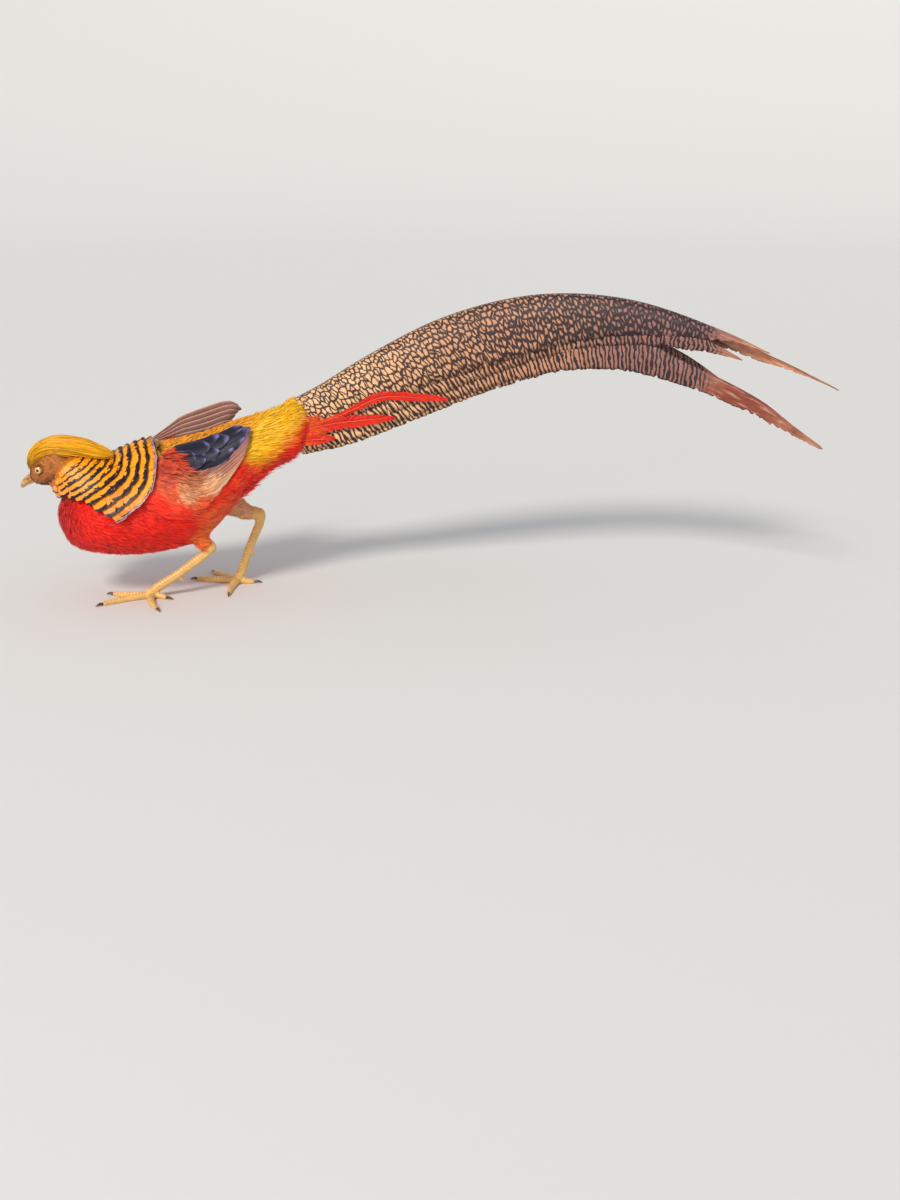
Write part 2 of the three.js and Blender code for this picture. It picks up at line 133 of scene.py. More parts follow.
def moulded(name, nodes, grain, rounds, swell=0.0, balls=()):
    # one rounded skin round copies of the named nodes, and of balls (x, y, z, radius) added to them
    deselect()
    grown = []
    for x, y, z, radius in balls:
        bpy.ops.mesh.primitive_uv_sphere_add(segments=24, ring_count=16, radius=radius / 1000,
                                             location=tuple(metres((x, y, z))))
        bpy.ops.object.transform_apply(location=True, rotation=True, scale=True)
        grown.append(bpy.context.view_layer.objects.active)
    deselect()
    for ball in grown:
        ball.select_set(True)
    for node in nodes:
        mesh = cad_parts[node].data.copy()
        mesh.materials.clear()
        twin = bpy.data.objects.new(name, mesh)
        bpy.context.scene.collection.objects.link(twin)
        twin.select_set(True)
        bpy.context.view_layer.objects.active = twin
    if len(nodes) + len(balls) > 1:
        bpy.ops.object.join()
    piece = bpy.context.view_layer.objects.active
    piece.name = name
    bpy.ops.object.mode_set(mode="EDIT")
    bpy.ops.mesh.select_all(action="SELECT")
    bpy.ops.mesh.remove_doubles(threshold=1e-6)
    if swell:
        bpy.ops.transform.shrink_fatten(value=swell / 1000)
    bpy.ops.object.mode_set(mode="OBJECT")
    remesh = piece.modifiers.new("rounding", "REMESH")
    remesh.mode = "VOXEL"
    remesh.voxel_size = grain / 1000
    smooth = piece.modifiers.new("smoothing", "SMOOTH")
    smooth.factor, smooth.iterations = 0.5, rounds
    applyAll(piece)
    bpy.ops.object.shade_smooth()
    return piece


def pointsOf(piece):
    flat = np.empty(len(piece.data.vertices) * 3)
    piece.data.vertices.foreach_get("co", flat)
    return millimetres(flat.reshape(-1, 3))


def normalsOf(piece):
    flat = np.empty(len(piece.data.vertices) * 3)
    piece.data.vertices.foreach_get("normal", flat)
    return flat.reshape(-1, 3)


def setPoints(piece, points):
    piece.data.vertices.foreach_set("co", metres(points).ravel())
    piece.data.update()


def paintPoints(piece, colours, name="tint"):
    layer = piece.data.color_attributes.new(name=name, type="FLOAT_COLOR", domain="POINT")
    rgba = np.ones((len(colours), 4))
    rgba[:, :3] = colours
    layer.data.foreach_set("color", rgba.ravel())


def weighPoints(piece, values, name):
    layer = piece.data.attributes.new(name=name, type="FLOAT", domain="POINT")
    layer.data.foreach_set("value", np.asarray(values, float).ravel())


def meshPiece(name, points, faces, maps=None, tints=None):
    # faces is a list of arrays, one for each number of corners; maps and tints hold one row a point
    mesh = bpy.data.meshes.new(name)
    corners = np.concatenate([f.ravel() for f in faces]).astype(np.int32)
    sizes = np.concatenate([np.full(len(f), f.shape[1]) for f in faces])
    mesh.vertices.add(len(points))
    mesh.vertices.foreach_set("co", metres(points).ravel())
    mesh.loops.add(len(corners))
    mesh.loops.foreach_set("vertex_index", corners)
    mesh.polygons.add(len(sizes))
    mesh.polygons.foreach_set("loop_start", np.concatenate([[0], np.cumsum(sizes)[:-1]]).astype(np.int32))
    mesh.update(calc_edges=True)
    mesh.polygons.foreach_set("use_smooth", np.ones(len(sizes), bool))
    for mapName, places in (maps or {}).items():
        layer = mesh.uv_layers.new(name=mapName)
        layer.data.foreach_set("uv", places[corners].ravel())
    piece = bpy.data.objects.new(name, mesh)
    bpy.context.scene.collection.objects.link(piece)
    if tints is not None:
        paintPoints(piece, tints)
    return piece


def gridQuads(rows, columns):
    # the faces of a grid whose points are numbered row by row
    i, j = np.meshgrid(np.arange(rows), np.arange(columns), indexing="ij")
    corner = (i * (columns + 1) + j).ravel()
    return np.stack([corner, corner + 1, corner + columns + 2, corner + columns + 1], 1)


otherWay = [0, 3, 2, 1]  # the corners of a face, gone round the other way


def thicken(piece, thickness, offset):
    solid = piece.modifiers.new("thickness", "SOLIDIFY")
    solid.thickness, solid.offset = thickness / 1000, offset
    applyAll(piece)


def triangleCount(piece):
    return sum(len(p.vertices) - 2 for p in piece.data.polygons)


# The shape of the bird, as the frame has it

body = {
    # x, z, half width, half height
    "sections": [(-132, 90, 8, 9), (-124, 87, 23, 26), (-102, 90, 40, 43), (-64, 97, 49, 56),
                 (-20, 103, 51, 59), (20, 113, 49, 56), (58, 139, 42, 43), (92, 157, 34, 34),
                 (126, 172, 27, 29)],
    "nodes": ["trunk", "rump", "neck", "head", "thigh_left", "thigh_right"],
    "grain": 1.7,
    "firstRounds": 14,
    "rounds": 60,
    "swell": 0.45,  # grown by this before it is rounded off, and drawn in by it after
    "coat": 3.2,  # how deep the feathers are over the skin
    "rumpCoat": 5.5,
    "tailCoat": 1.0,
    "faceCoat": 0.9,
    "thighCoat": 2.0,
}
head = {
    "middle": np.array((-139.7, 0, 137.7)), "pitch": 30, "turn": 18,
    "eye": (3, 4, 10.6), "eyeRadius": 4.9,  # forward, up and aside on the head
}
pitch, turn = math.radians(head["pitch"]), math.radians(head["turn"])
headForward = np.array((-math.cos(turn) * math.cos(pitch), math.sin(turn) * math.cos(pitch),
                        -math.sin(pitch)))
headSide = np.array((-math.sin(turn), -math.cos(turn), 0))
headUp = -np.cross(headForward, headSide)
headUp *= np.sign(headUp[2])


def onHead(forward, up, side=0.0):
    spread = [np.asarray(v, float)[..., None] for v in (forward, up, side)]
    return head["middle"] + headForward * spread[0] + headUp * spread[1] + headSide * spread[2]


def headPlace(points):
    away = points - head["middle"]
    return away @ headForward, away @ headUp, away @ headSide


def bodyPlace(points):
    # slope of the back, and how far up and out a point lies on the ring at its x
    x = points[:, 0]
    middle, wide, high = (smoothAt(body["sections"], x, k) for k in (1, 2, 3))
    slope = (smoothAt(body["sections"], x + 2) - smoothAt(body["sections"], x - 2)) / 4
    return slope, (points[:, 2] - middle) / high, points[:, 1] / wide


def upOnBody(points):
    return bodyPlace(points)[1]


def readSurface(piece, extraPoints=None, extraFaces=None):
    mesh = piece.data
    mesh.calc_loop_triangles()
    count = len(mesh.loop_triangles)
    corners, loops = np.empty(count * 3, np.int32), np.empty(count * 3, np.int32)
    mesh.loop_triangles.foreach_get("vertices", corners)
    mesh.loop_triangles.foreach_get("loops", loops)
    points, normals = pointsOf(piece), normalsOf(piece)
    triangles = corners.reshape(-1, 3)
    uv = np.zeros((count, 3, 2))
    if "OFBake" in mesh.uv_layers:
        flat = np.empty(len(mesh.loops) * 2)
        mesh.uv_layers["OFBake"].data.foreach_get("uv", flat)
        uv = flat.reshape(-1, 2)[loops].reshape(-1, 3, 2)
    if extraPoints is not None:
        a, b, c = (extraPoints[extraFaces[:, k]] for k in range(3))
        faceNormals = unit(np.cross(b - a, c - a))
        extraNormals = np.zeros_like(extraPoints)
        for k in range(3):
            np.add.at(extraNormals, extraFaces[:, k], faceNormals)
        triangles = np.concatenate([triangles, extraFaces + len(points)])
        points = np.concatenate([points, extraPoints])
        normals = np.concatenate([normals, unit(extraNormals)])
        uv = np.concatenate([uv, np.zeros((len(extraFaces), 3, 2))])
    tree = BVHTree.FromPolygons(points.tolist(), triangles.tolist())
    return {"points": points, "normals": normals, "triangles": triangles, "uv": uv, "tree": tree, "own": count}


def nearest(surface, places):
    hits = [surface["tree"].find_nearest(p) for p in places.tolist()]
    found = np.array([tuple(h[0]) for h in hits])
    face = np.array([h[2] for h in hits])
    corners = surface["points"][surface["triangles"][face]]
    edge1, edge2, out = corners[:, 1] - corners[:, 0], corners[:, 2] - corners[:, 0], found - corners[:, 0]
    d11, d12, d22 = (edge1**2).sum(1), (edge1 * edge2).sum(1), (edge2**2).sum(1)
    o1, o2 = (out * edge1).sum(1), (out * edge2).sum(1)
    area = np.maximum(d11 * d22 - d12**2, 1e-12)
    w1, w2 = (d22 * o1 - d12 * o2) / area, (d11 * o2 - d12 * o1) / area
    weights = np.clip(np.stack([1 - w1 - w2, w1, w2], 1), 0, 1)
    weights /= weights.sum(1, keepdims=True)
    normal = unit((surface["normals"][surface["triangles"][face]] * weights[:, :, None]).sum(1))
    return found, normal, face, weights


def bakePlace(surface, places):
    # where a root lies on the unwrap of the skin
    _, _, face, weights = nearest(surface, places)
    return (surface["uv"][face] * weights[:, :, None]).sum(1)


def scatter(surface, count, gap, seed):
    # seeded places over the skin's own faces, none nearer than gap to another
    turn = np.random.default_rng(seed)
    tri = surface["points"][surface["triangles"][: surface["own"]]]
    area = np.linalg.norm(np.cross(tri[:, 1] - tri[:, 0], tri[:, 2] - tri[:, 0]), axis=1)
    chosen = turn.choice(len(area), count, p=area / area.sum())
    a, b = turn.random(count), turn.random(count)
    a, b = np.where(a + b > 1, 1 - a, a), np.where(a + b > 1, 1 - b, b)
    tri = tri[chosen]
    places = tri[:, 0] + (tri[:, 1] - tri[:, 0]) * a[:, None] + (tri[:, 2] - tri[:, 0]) * b[:, None]
    gaps = gap(places) if callable(gap) else np.full(count, float(gap))
    keep, cells, cell = [], {}, max(gaps.max(), 0.5)
    keys = np.floor(places / cell).astype(int).tolist()
    rows = places.tolist()
    near = [(i, j, k) for i in (-1, 0, 1) for j in (-1, 0, 1) for k in (-1, 0, 1)]
    for n, (row, key) in enumerate(zip(rows, keys)):
        limit = gaps[n] ** 2
        if limit <= 0:
            continue
        clash = False
        for step in near:
            for other in cells.get((key[0] + step[0], key[1] + step[1], key[2] + step[2]), ()):
                if (row[0] - other[0]) ** 2 + (row[1] - other[1]) ** 2 + (row[2] - other[2]) ** 2 < limit:
                    clash = True
                    break
            if clash:
                break
        if not clash:
            keep.append(n)
            cells.setdefault(tuple(key), []).append(row)
    return places[keep]


def walk(surface, starts, flow, lengths, steps, back=False):
    # paths laid over the surface the way the flow runs; past its edge they run on straight
    place, normal, _, _ = nearest(surface, starts)
    places, normals = [place], [normal]
    way = None
    for _ in range(steps):
        aim = flow(place, normal) * (-1 if back else 1)
        way = aim if way is None else way * 0.5 + aim * 0.5
        way = unit(way - normal * (way * normal).sum(1)[:, None])
        step = (lengths / steps)[:, None]
        target = place + way * step
        found, foundNormal, _, _ = nearest(surface, target)
        loose = np.linalg.norm(found - target, axis=1) > 0.45 * step[:, 0]
        place = np.where(loose[:, None], target, found)
        normal = np.where(loose[:, None], normal, foundNormal)
        places.append(place)
        normals.append(normal)
    path, ups = np.stack(places, 1), np.stack(normals, 1)
    return (path[:, ::-1], ups[:, ::-1]) if back else (path, ups)


def along(path, t):
    # places at the shares t of each path; t is (paths, anything)
    last = path.shape[1] - 1
    at = np.clip(t, 0, 1) * last
    i = np.minimum(at.astype(int), last - 1)
    f = (at - i)[..., None]
    rows = np.arange(len(path)).reshape((-1,) + (1,) * (t.ndim - 1))
    return path[rows, i] * (1 - f) + path[rows, i + 1] * f


def framesOf(path, ups, t):
    middle, up = along(path, t), unit(along(ups, t))
    ahead = along(path, np.minimum(t + 0.06, 1)) - along(path, np.maximum(t - 0.06, 0))
    side = unit(np.cross(up, unit(ahead)))
    return middle, up, side


def bladeTufts(path, ups, look, tints, bakeAt):
    # tufts of narrow blades: each path gets one, of look["blades"] barbs that part at their ends
    count, blades, rows = len(path), look["blades"], look["rows"]
    offset = np.linspace(-1, 1, blades)[None, :] + dice.normal(0, 0.35 / blades, (count, blades))
    reach = 1 - look["round"] * offset**2 - look["ragged"] * dice.random((count, blades))
    start = look.get("start", 0.0) * dice.random((count, blades))
    t = np.linspace(0, 1, rows + 1)[None, None, :] * (reach - start)[..., None] + start[..., None]
    middle, up, side = framesOf(path, ups, t)
    share = np.linspace(0, 1, rows + 1)
    spread = np.interp(share, [0, 0.3, 0.75, 1], look.get("fan", [0.3, 0.85, 1, 0.92]))
    wide, lift = (np.broadcast_to(look[key], (count,)) for key in ("width", "lift"))
    stray = dice.normal(0, 1, (count, blades, 2))
    rise = lift[:, None, None] * (look["rootLift"] + (1 - look["rootLift"]) * share**0.8)
    rise = rise * (1 + 0.16 * stray[..., :1]) - look["arch"] * (offset**2)[..., None] * wide[:, None, None]
    rise = rise + look["flyaway"] * stray[..., 1:] * share**2
    centre = middle + side * (offset[..., None] * wide[:, None, None] * spread)[..., None]
    centre = centre + up * rise[..., None]
    roll = dice.normal(0, look["roll"], (count, blades, 1))
    across = side * np.cos(roll)[..., None] + up * np.sin(roll)[..., None]
    taper = np.interp(share, [0, 0.25, 0.7, 1], [0.7, 1, 0.75, 0])
    half = (wide * look["bladeShare"] / blades)[:, None, None] * taper
    aside = across[:, :, :-1] * half[..., :-1, None]
    pairs = np.stack([centre[:, :, :-1] - aside, centre[:, :, :-1] + aside], 3)
    pairs = pairs.reshape(count, blades, rows * 2, 3)
    points = np.concatenate([pairs, centre[:, :, -1:]], 2).reshape(-1, 3)
    per = rows * 2 + 1
    base = (np.arange(count * blades) * per)[:, None, None]
    k = np.arange(rows - 1)[None, :, None] * 2
    quads = (base + k + np.array((0, 1, 3, 2))[None, None, :]).reshape(-1, 4)
    tips = (base[:, 0] + np.array((per - 3, per - 2, per - 1))[None, :])
    v = np.concatenate([np.repeat(share[:-1], 2), [1.0]])
    u = np.concatenate([np.tile([0.0, 1.0], rows), [0.5]])
    lengthwise = np.broadcast_to(v, (count, blades, per))
    sideways = (np.arange(blades)[None, :, None] + u) / blades + np.zeros((count, 1, 1))
    vane = np.stack([sideways, lengthwise], -1).reshape(-1, 2)
    bake = (np.repeat(bakeAt, blades * per, 0) + (vane - 0.5) * tuftPatch) if bakeAt is not None else vane
    shade = 1 + look["variety"] * dice.normal(0, 1, (count, 1, 1))
    shade = shade + look["variety"] * 0.8 * dice.normal(0, 1, (count, blades, 1))
    colour = np.repeat(tints[:, None, None, :], blades, 1) * np.clip(shade, 0.35, 1.8)[..., None]
    colour = np.broadcast_to(colour, (count, blades, per, 3)).reshape(-1, 3)
    return points, [quads, tips], {"vane": vane, "OFBake": bake}, colour


def vaneGrid(path, ups, look, tints, bakeAt):
    # small whole feathers: a rounded or square vane with a raised shaft line and a notched end
    count, rows, columns = len(path), look["rows"], look["columns"]
    a = np.linspace(-1, 1, columns + 1)[None, None, :]
    share = np.linspace(0, 1, rows + 1)[None, :, None]
    notch = dice.random((count, 1, columns + 1)) * look["ragged"]
    t = share * (1 - look["round"] * np.abs(a) ** look.get("corner", 2.0) - notch)
    middle, up, side = framesOf(path, ups, t)
    width = np.interp(share, np.linspace(0, 1, len(look["outline"])), look["outline"])
    wide, lift = (np.broadcast_to(look[key], (count,)) for key in ("width", "lift"))
    tilt = dice.normal(0, look.get("tilt", 0.05), (count, 1, 1))
    rise = lift[:, None, None] * (look["rootLift"] + (1 - look["rootLift"]) * share)
    rise = rise - look["arch"] * a**2 * wide[:, None, None] * width + tilt * a * wide[:, None, None]
    rise = rise + look.get("shaft", 0.0) * (np.abs(a) < 0.01) * (1 - share)
    points = middle + side * (a * wide[:, None, None] * width)[..., None] + up * rise[..., None]
    per = (rows + 1) * (columns + 1)
    quads = (np.arange(count)[:, None, None] * per + gridQuads(rows, columns)).reshape(-1, 4)
    u = np.broadcast_to(a * 0.5 + 0.5, (count, rows + 1, columns + 1))
    v = np.broadcast_to(share, (count, rows + 1, columns + 1))
    vane = np.stack([u, v], -1).reshape(-1, 2)
    bake = np.repeat(bakeAt, per, 0) + (vane - 0.5) * tuftPatch
    shade = np.clip(1 + look["variety"] * dice.normal(0, 1, (count, 1)), 0.5, 1.6)
    colour = np.repeat(tints * shade, per, 0)
    return points.reshape(-1, 3), [quads], {"vane": vane, "OFBake": bake}, colour


def growPiece(name, parts, material, slot, *nodes, thickness=None):
    # one piece from one or more sets of feathers
    points, faces, maps, tints, start = [], [], {"vane": [], "OFBake": []}, [], 0
    for part in parts:
        faces += [f + start for f in part[1]]
        points.append(part[0])
        tints.append(part[3])
        for key in maps:
            maps[key].append(part[2][key])
        start += len(part[0])
    piece = meshPiece(name, np.concatenate(points), faces,
                      {key: np.concatenate(value) for key, value in maps.items()}, np.concatenate(tints))
    if thickness:
        thicken(piece, thickness, 0.0)
    finishPiece(piece, material, slot, *nodes)
    print(name, triangleCount(piece), "triangles")


# Shader groups

def groupOf(name, inputs, outputs):
    group = bpy.data.node_groups.new(name, "ShaderNodeTree")
    for label, kind, value in inputs:
        socket = group.interface.new_socket(name=label, in_out="INPUT", socket_type="NodeSocket" + kind)
        if value is not None:
            socket.default_value = value
    for label, kind in outputs:
        group.interface.new_socket(name=label, in_out="OUTPUT", socket_type="NodeSocket" + kind)
    return group, group.nodes.new("NodeGroupInput"), group.nodes.new("NodeGroupOutput")


def add(tree, kind, links=None, **settings):
    # links: input name or number -> a socket, or a plain value
    node = tree.nodes.new("ShaderNode" + kind)
    for key, value in settings.items():
        setattr(node, key, value)
    for key, value in (links or {}).items():
        socket = node.inputs[key]
        if isinstance(value, bpy.types.NodeSocket):
            tree.links.new(value, socket)
        else:
            socket.default_value = value
    return node


def maths(tree, operation, *values):
    return add(tree, "Math", dict(enumerate(values)), operation=operation).outputs[0]


def times(tree, first, second):
    return maths(tree, "MULTIPLY", first, second)


def less(tree, first, second):
    return maths(tree, "SUBTRACT", first, second)


def mixed(tree, share, first, second, blend="MIX"):
    node = add(tree, "Mix", data_type="RGBA", blend_type=blend)
    for place, value in ((0, share), (6, first), (7, second)):
        if isinstance(value, bpy.types.NodeSocket):
            tree.links.new(value, node.inputs[place])
        elif place == 0:
            node.inputs[0].default_value = value
        else:
            node.inputs[place].default_value = (*value, 1)
    return node.outputs[2]


def spread(tree, value, low, high, toLow=0.0, toHigh=1.0):
    links = {0: value, 1: low, 2: high, 3: toLow, 4: toHigh}
    return add(tree, "MapRange", links, interpolation_type="SMOOTHSTEP").outputs[0]


def makeMottle():
    # uneven colour: a factor about 1 that darkens and lightens in patches
    inputs = [("Vector", "Vector", None), ("Size", "Float", 400.0), ("Amount", "Float", 0.2)]
    group, into, out = groupOf("mottle", inputs, [("Factor", "Float")])
    noise = add(group, "TexNoise", {"Vector": into.outputs["Vector"], "Scale": into.outputs["Size"],
                                    "Detail": 3.0})
    centred = less(group, noise.outputs[0], 0.5)
    strong = times(group, centred, into.outputs["Amount"])
    group.links.new(maths(group, "ADD", strong, 1.0), out.inputs["Factor"])
    return group


def makeBarbing():
    # the slanting barb lines of a vane, from its own map: across 0 to 1, along 0 to 1
    inputs = [("Map", "Vector", None), ("Lines", "Float", 30.0), ("Slant", "Float", 0.5)]
    group, into, out = groupOf("barbing", inputs, [("Height", "Float"), ("Shaft", "Float")])
    parts = add(group, "SeparateXYZ", {0: into.outputs["Map"]})
    aside = maths(group, "ABSOLUTE", less(group, parts.outputs[0], 0.5))
    phase = less(group, parts.outputs[1], times(group, aside, into.outputs["Slant"]))
    wave = maths(group, "SINE", times(group, phase, times(group, into.outputs["Lines"], fullTurn)))
    group.links.new(maths(group, "MULTIPLY_ADD", wave, 0.5, 0.5), out.inputs["Height"])
    group.links.new(spread(group, aside, 0.0, 0.05, 1.0, 0.0), out.inputs["Shaft"])
    return group


def makeNetwork():
    # dark net round pale cells; Map is in millimetres along and across the feather
    inputs = [("Map", "Vector", None), ("Cell", "Float", 4.6), ("Line", "Float", 0.16), ("Warp", "Float", 1.4),
              ("Slant", "Float", -0.4), ("Stretch", "Float", 0.8)]
    group, into, out = groupOf("network", inputs, [("Mask", "Float")])
    noise = add(group, "TexNoise", {"Vector": into.outputs["Map"], "Scale": 0.22, "Detail": 1.0})
    shifted = add(group, "VectorMath", {0: noise.outputs["Color"], 1: (0.5, 0.5, 0.5)}, operation="SUBTRACT")
    scaled = add(group, "VectorMath", {0: shifted.outputs[0], "Scale": into.outputs["Warp"]},
                 operation="SCALE")
    place = add(group, "VectorMath", {0: into.outputs["Map"], 1: scaled.outputs[0]}, operation="ADD")
    parts = add(group, "SeparateXYZ", {0: place.outputs[0]})
    slanted = maths(group, "MULTIPLY_ADD", parts.outputs[1], into.outputs["Slant"], parts.outputs[0])
    drawn = add(group, "CombineXYZ", {0: slanted, 1: times(group, parts.outputs[1], into.outputs["Stretch"])})
    size = maths(group, "DIVIDE", 1.0, into.outputs["Cell"])
    cells = add(group, "TexVoronoi", {"Vector": drawn.outputs[0], "Scale": size},
                feature="DISTANCE_TO_EDGE", voronoi_dimensions="2D")
    fine = add(group, "TexNoise", {"Vector": into.outputs["Map"], "Scale": 1.1, "Detail": 1.0})
    edge = maths(group, "ADD", cells.outputs[0], times(group, less(group, fine.outputs[0], 0.5), 0.12))
    inner, outer = (times(group, into.outputs["Line"], share) for share in (0.55, 1.35))
    group.links.new(spread(group, edge, inner, outer), out.inputs["Mask"])
    return group


def makeBars():
    # wavy slanting bars across a feather; Map is in millimetres
    inputs = [("Map", "Vector", None), ("Spacing", "Float", 4.6), ("Slant", "Float", 0.6),
              ("Warp", "Float", 3.0), ("Dark", "Float", 0.5)]
    group, into, out = groupOf("bars", inputs, [("Mask", "Float")])
    parts = add(group, "SeparateXYZ", {0: into.outputs["Map"]})
    noise = add(group, "TexNoise", {"Vector": into.outputs["Map"], "Scale": 0.16, "Detail": 2.0})
    waver = times(group, less(group, noise.outputs[0], 0.5), times(group, into.outputs["Warp"], 2.0))
    slanted = maths(group, "MULTIPLY_ADD", parts.outputs[1], into.outputs["Slant"], parts.outputs[0])
    phase = maths(group, "DIVIDE", maths(group, "ADD", slanted, waver), into.outputs["Spacing"])
    wave = maths(group, "MULTIPLY_ADD", maths(group, "SINE", times(group, phase, fullTurn)), 0.5, 0.5)
    low = less(group, into.outputs["Dark"], 0.14)
    high = maths(group, "ADD", into.outputs["Dark"], 0.14)
    group.links.new(spread(group, wave, low, high), out.inputs["Mask"])
    return group


mottle, barbing, network, bars = makeMottle(), makeBarbing(), makeNetwork(), makeBars()


def material(name, rough, sheen=0.0, coatWeight=0.0, specular=0.4, metal=0.0, under=0.0):
    made = bpy.data.materials.new(name)
    made.use_nodes = True
    tree = made.node_tree
    shader = tree.nodes["Principled BSDF"]
    shader.inputs["Roughness"].default_value = rough
    shader.inputs["Specular IOR Level"].default_value = specular
    shader.inputs["Metallic"].default_value = metal
    if sheen:
        shader.inputs["Sheen Weight"].default_value = sheen
        shader.inputs["Sheen Roughness"].default_value = 0.4
    if coatWeight:
        shader.inputs["Coat Weight"].default_value = coatWeight
        shader.inputs["Coat Roughness"].default_value = 0.25
    if under:
        shader.inputs["Subsurface Weight"].default_value = under
        shader.inputs["Subsurface Radius"].default_value = (0.002, 0.001, 0.0006)
    return made, tree, shader


def useGroup(tree, group, **links):
    node = tree.nodes.new("ShaderNodeGroup")
    node.node_tree = group
    for key, value in links.items():
        if isinstance(value, bpy.types.NodeSocket):
            tree.links.new(value, node.inputs[key])
        else:
            node.inputs[key].default_value = value
    return node


def bumpFrom(tree, shader, height, strength, distance=0.0004):
    node = add(tree, "Bump", {"Height": height, "Strength": strength, "Distance": distance})
    tree.links.new(node.outputs[0], shader.inputs["Normal"])


def objectPlace(tree):
    return add(tree, "TexCoord").outputs["Object"]


def tinted(tree):
    return add(tree, "Attribute", attribute_name="tint").outputs["Color"]


def shaded(tree, colour, factor):
    # the colour made darker or lighter by a factor
    grey = add(tree, "CombineColor", {0: factor, 1: factor, 2: factor}).outputs[0]
    return mixed(tree, 1.0, colour, grey, "MULTIPLY")


def makePlumage(name, rough, sheen, rootShade, barbLines, variety=0.35):
    # feathers coloured by their tint, darker at the root, with barb lines and uneven wear
    made, tree, shader = material(name, rough, sheen=sheen)
    vane = add(tree, "UVMap", uv_map="vane").outputs[0]
    lengthwise = add(tree, "SeparateXYZ", {0: vane}).outputs[1]
    patch = useGroup(tree, mottle, Vector=objectPlace(tree), Size=420.0, Amount=variety)
    fine = useGroup(tree, mottle, Vector=objectPlace(tree), Size=2600.0, Amount=variety)
    wear = times(tree, patch.outputs[0], fine.outputs[0])
    shade = times(tree, wear, spread(tree, lengthwise, 0.0, 0.75, rootShade, 1.0))
    tree.links.new(shaded(tree, tinted(tree), shade), shader.inputs["Base Color"])
    if barbLines:
        lines = useGroup(tree, barbing, Map=vane, Lines=barbLines, Slant=0.5)
        bumpFrom(tree, shader, lines.outputs["Height"], 0.5, barbDepth)
    return made


plumage = {
    "skin": makePlumage("skin under the feathers", 0.8, 0.0, 1.0, 0.0, 0.5),
    "breast": makePlumage("scarlet breast feathers", 0.5, 0.2, 0.62, 0.0, 0.3),
    "rump": makePlumage("golden rump feathers", 0.45, 0.2, 0.62, 0.0, 0.3),
    "face": makePlumage("short face feathers", 0.7, 0.2, 0.6, 0.0),
    "crest": makePlumage("golden crest", 0.42, 0.2, 0.6, 0.0, 0.25),
    "shoulder": makePlumage("shoulder feathers", 0.5, 0.12, 0.7, 0.0, 0.3),
    "covert": makePlumage("scarlet tail coverts", 0.5, 0.2, 0.8, 40.0),
    "mantle": makePlumage("green mantle feathers", 0.35, 0.1, 0.6, 9.0),
}
print("materials of the coat made")

# Skin: one surface round trunk, rump, neck, head and thighs, inside them by the depth of the coat

legLines = {
    "left": {"thigh": [(-6, -27, 88), (6, -25, 70), (14, -22, 57), (19, -20, 50)], "radius": 17},
    "right": {"thigh": [(24, 27, 108), (44, 25, 88), (62, 21, 77), (77, 19, 73)], "radius": 17},
}


def thighTint(points, colour):
    # orange brown down the lower thigh, and the pale yellow of the leg round its end
    for leg, shade in ((legLines["left"], tones["thighBrown"]), (legLines["right"], tones["thighSalmon"])):
        away = np.min([np.linalg.norm(points - np.array(p, float), axis=1) for p in leg["thigh"][1:]], axis=0)
        end = np.linalg.norm(points - np.array(leg["thigh"][-1], float), axis=1)
        colour = blendTones(colour, shade, 1 - ease(away, 12, 20))
        colour = blendTones(colour, tones["legYellow"], 1 - ease(end, 7, 10))
    return colour


def thighShare(points):
    # how much of a thigh a point belongs to, and the way down that thigh
    _, up, out = bodyPlace(points)
    below = ease(np.hypot(up, out), 1.0, 1.12) * ease(-up, 0.2, 0.6)
    total, way = np.zeros(len(points)), np.zeros((len(points), 3))
    for leg in legLines.values():
        line = np.array(leg["thigh"], float)
        distance = np.min([np.linalg.norm(points - p, axis=1) for p in line], axis=0)
        share = below * (1 - ease(distance, leg["radius"], leg["radius"] + 10))
        step = np.argmin([np.linalg.norm(points - p, axis=1) for p in line[:-1]], axis=0)
        way += unit(line[step + 1] - line[step]) * share[:, None]
        total = np.maximum(total, share)
    return total, way


def faceShare(points):
    forward, up, side = headPlace(points)
    away = np.linalg.norm(np.stack([forward * 0.8, up, side], 1), axis=1)
    return 1 - ease(away, 22, 34)


def coatDepth(points):
    depth = np.full(len(points), body["coat"])
    depth += (body["rumpCoat"] - depth) * ease(points[:, 0], 40, 90)
    depth += (body["tailCoat"] - depth) * ease(points[:, 0], 92, 122)
    depth += (body["thighCoat"] - depth) * thighShare(points)[0]
    return depth + (body["faceCoat"] - depth) * faceShare(points)


def slimming(points):
    # how much further in the skin lies under the belly and round the end of the rump, as in the photo
    x, up = points[:, 0], upOnBody(points)
    under = 3.0 * ease(x, -125, -90) + 2.5 * ease(x, 56, 92)
    sunk = under * ease(-up, 0.3, 0.9) * (1 - thighShare(points)[0])
    return sunk + 1.5 * ease(x, 90, 110) * ease(up, 0.3, 0.9) + 3.5 * ease(x, 108, 124)


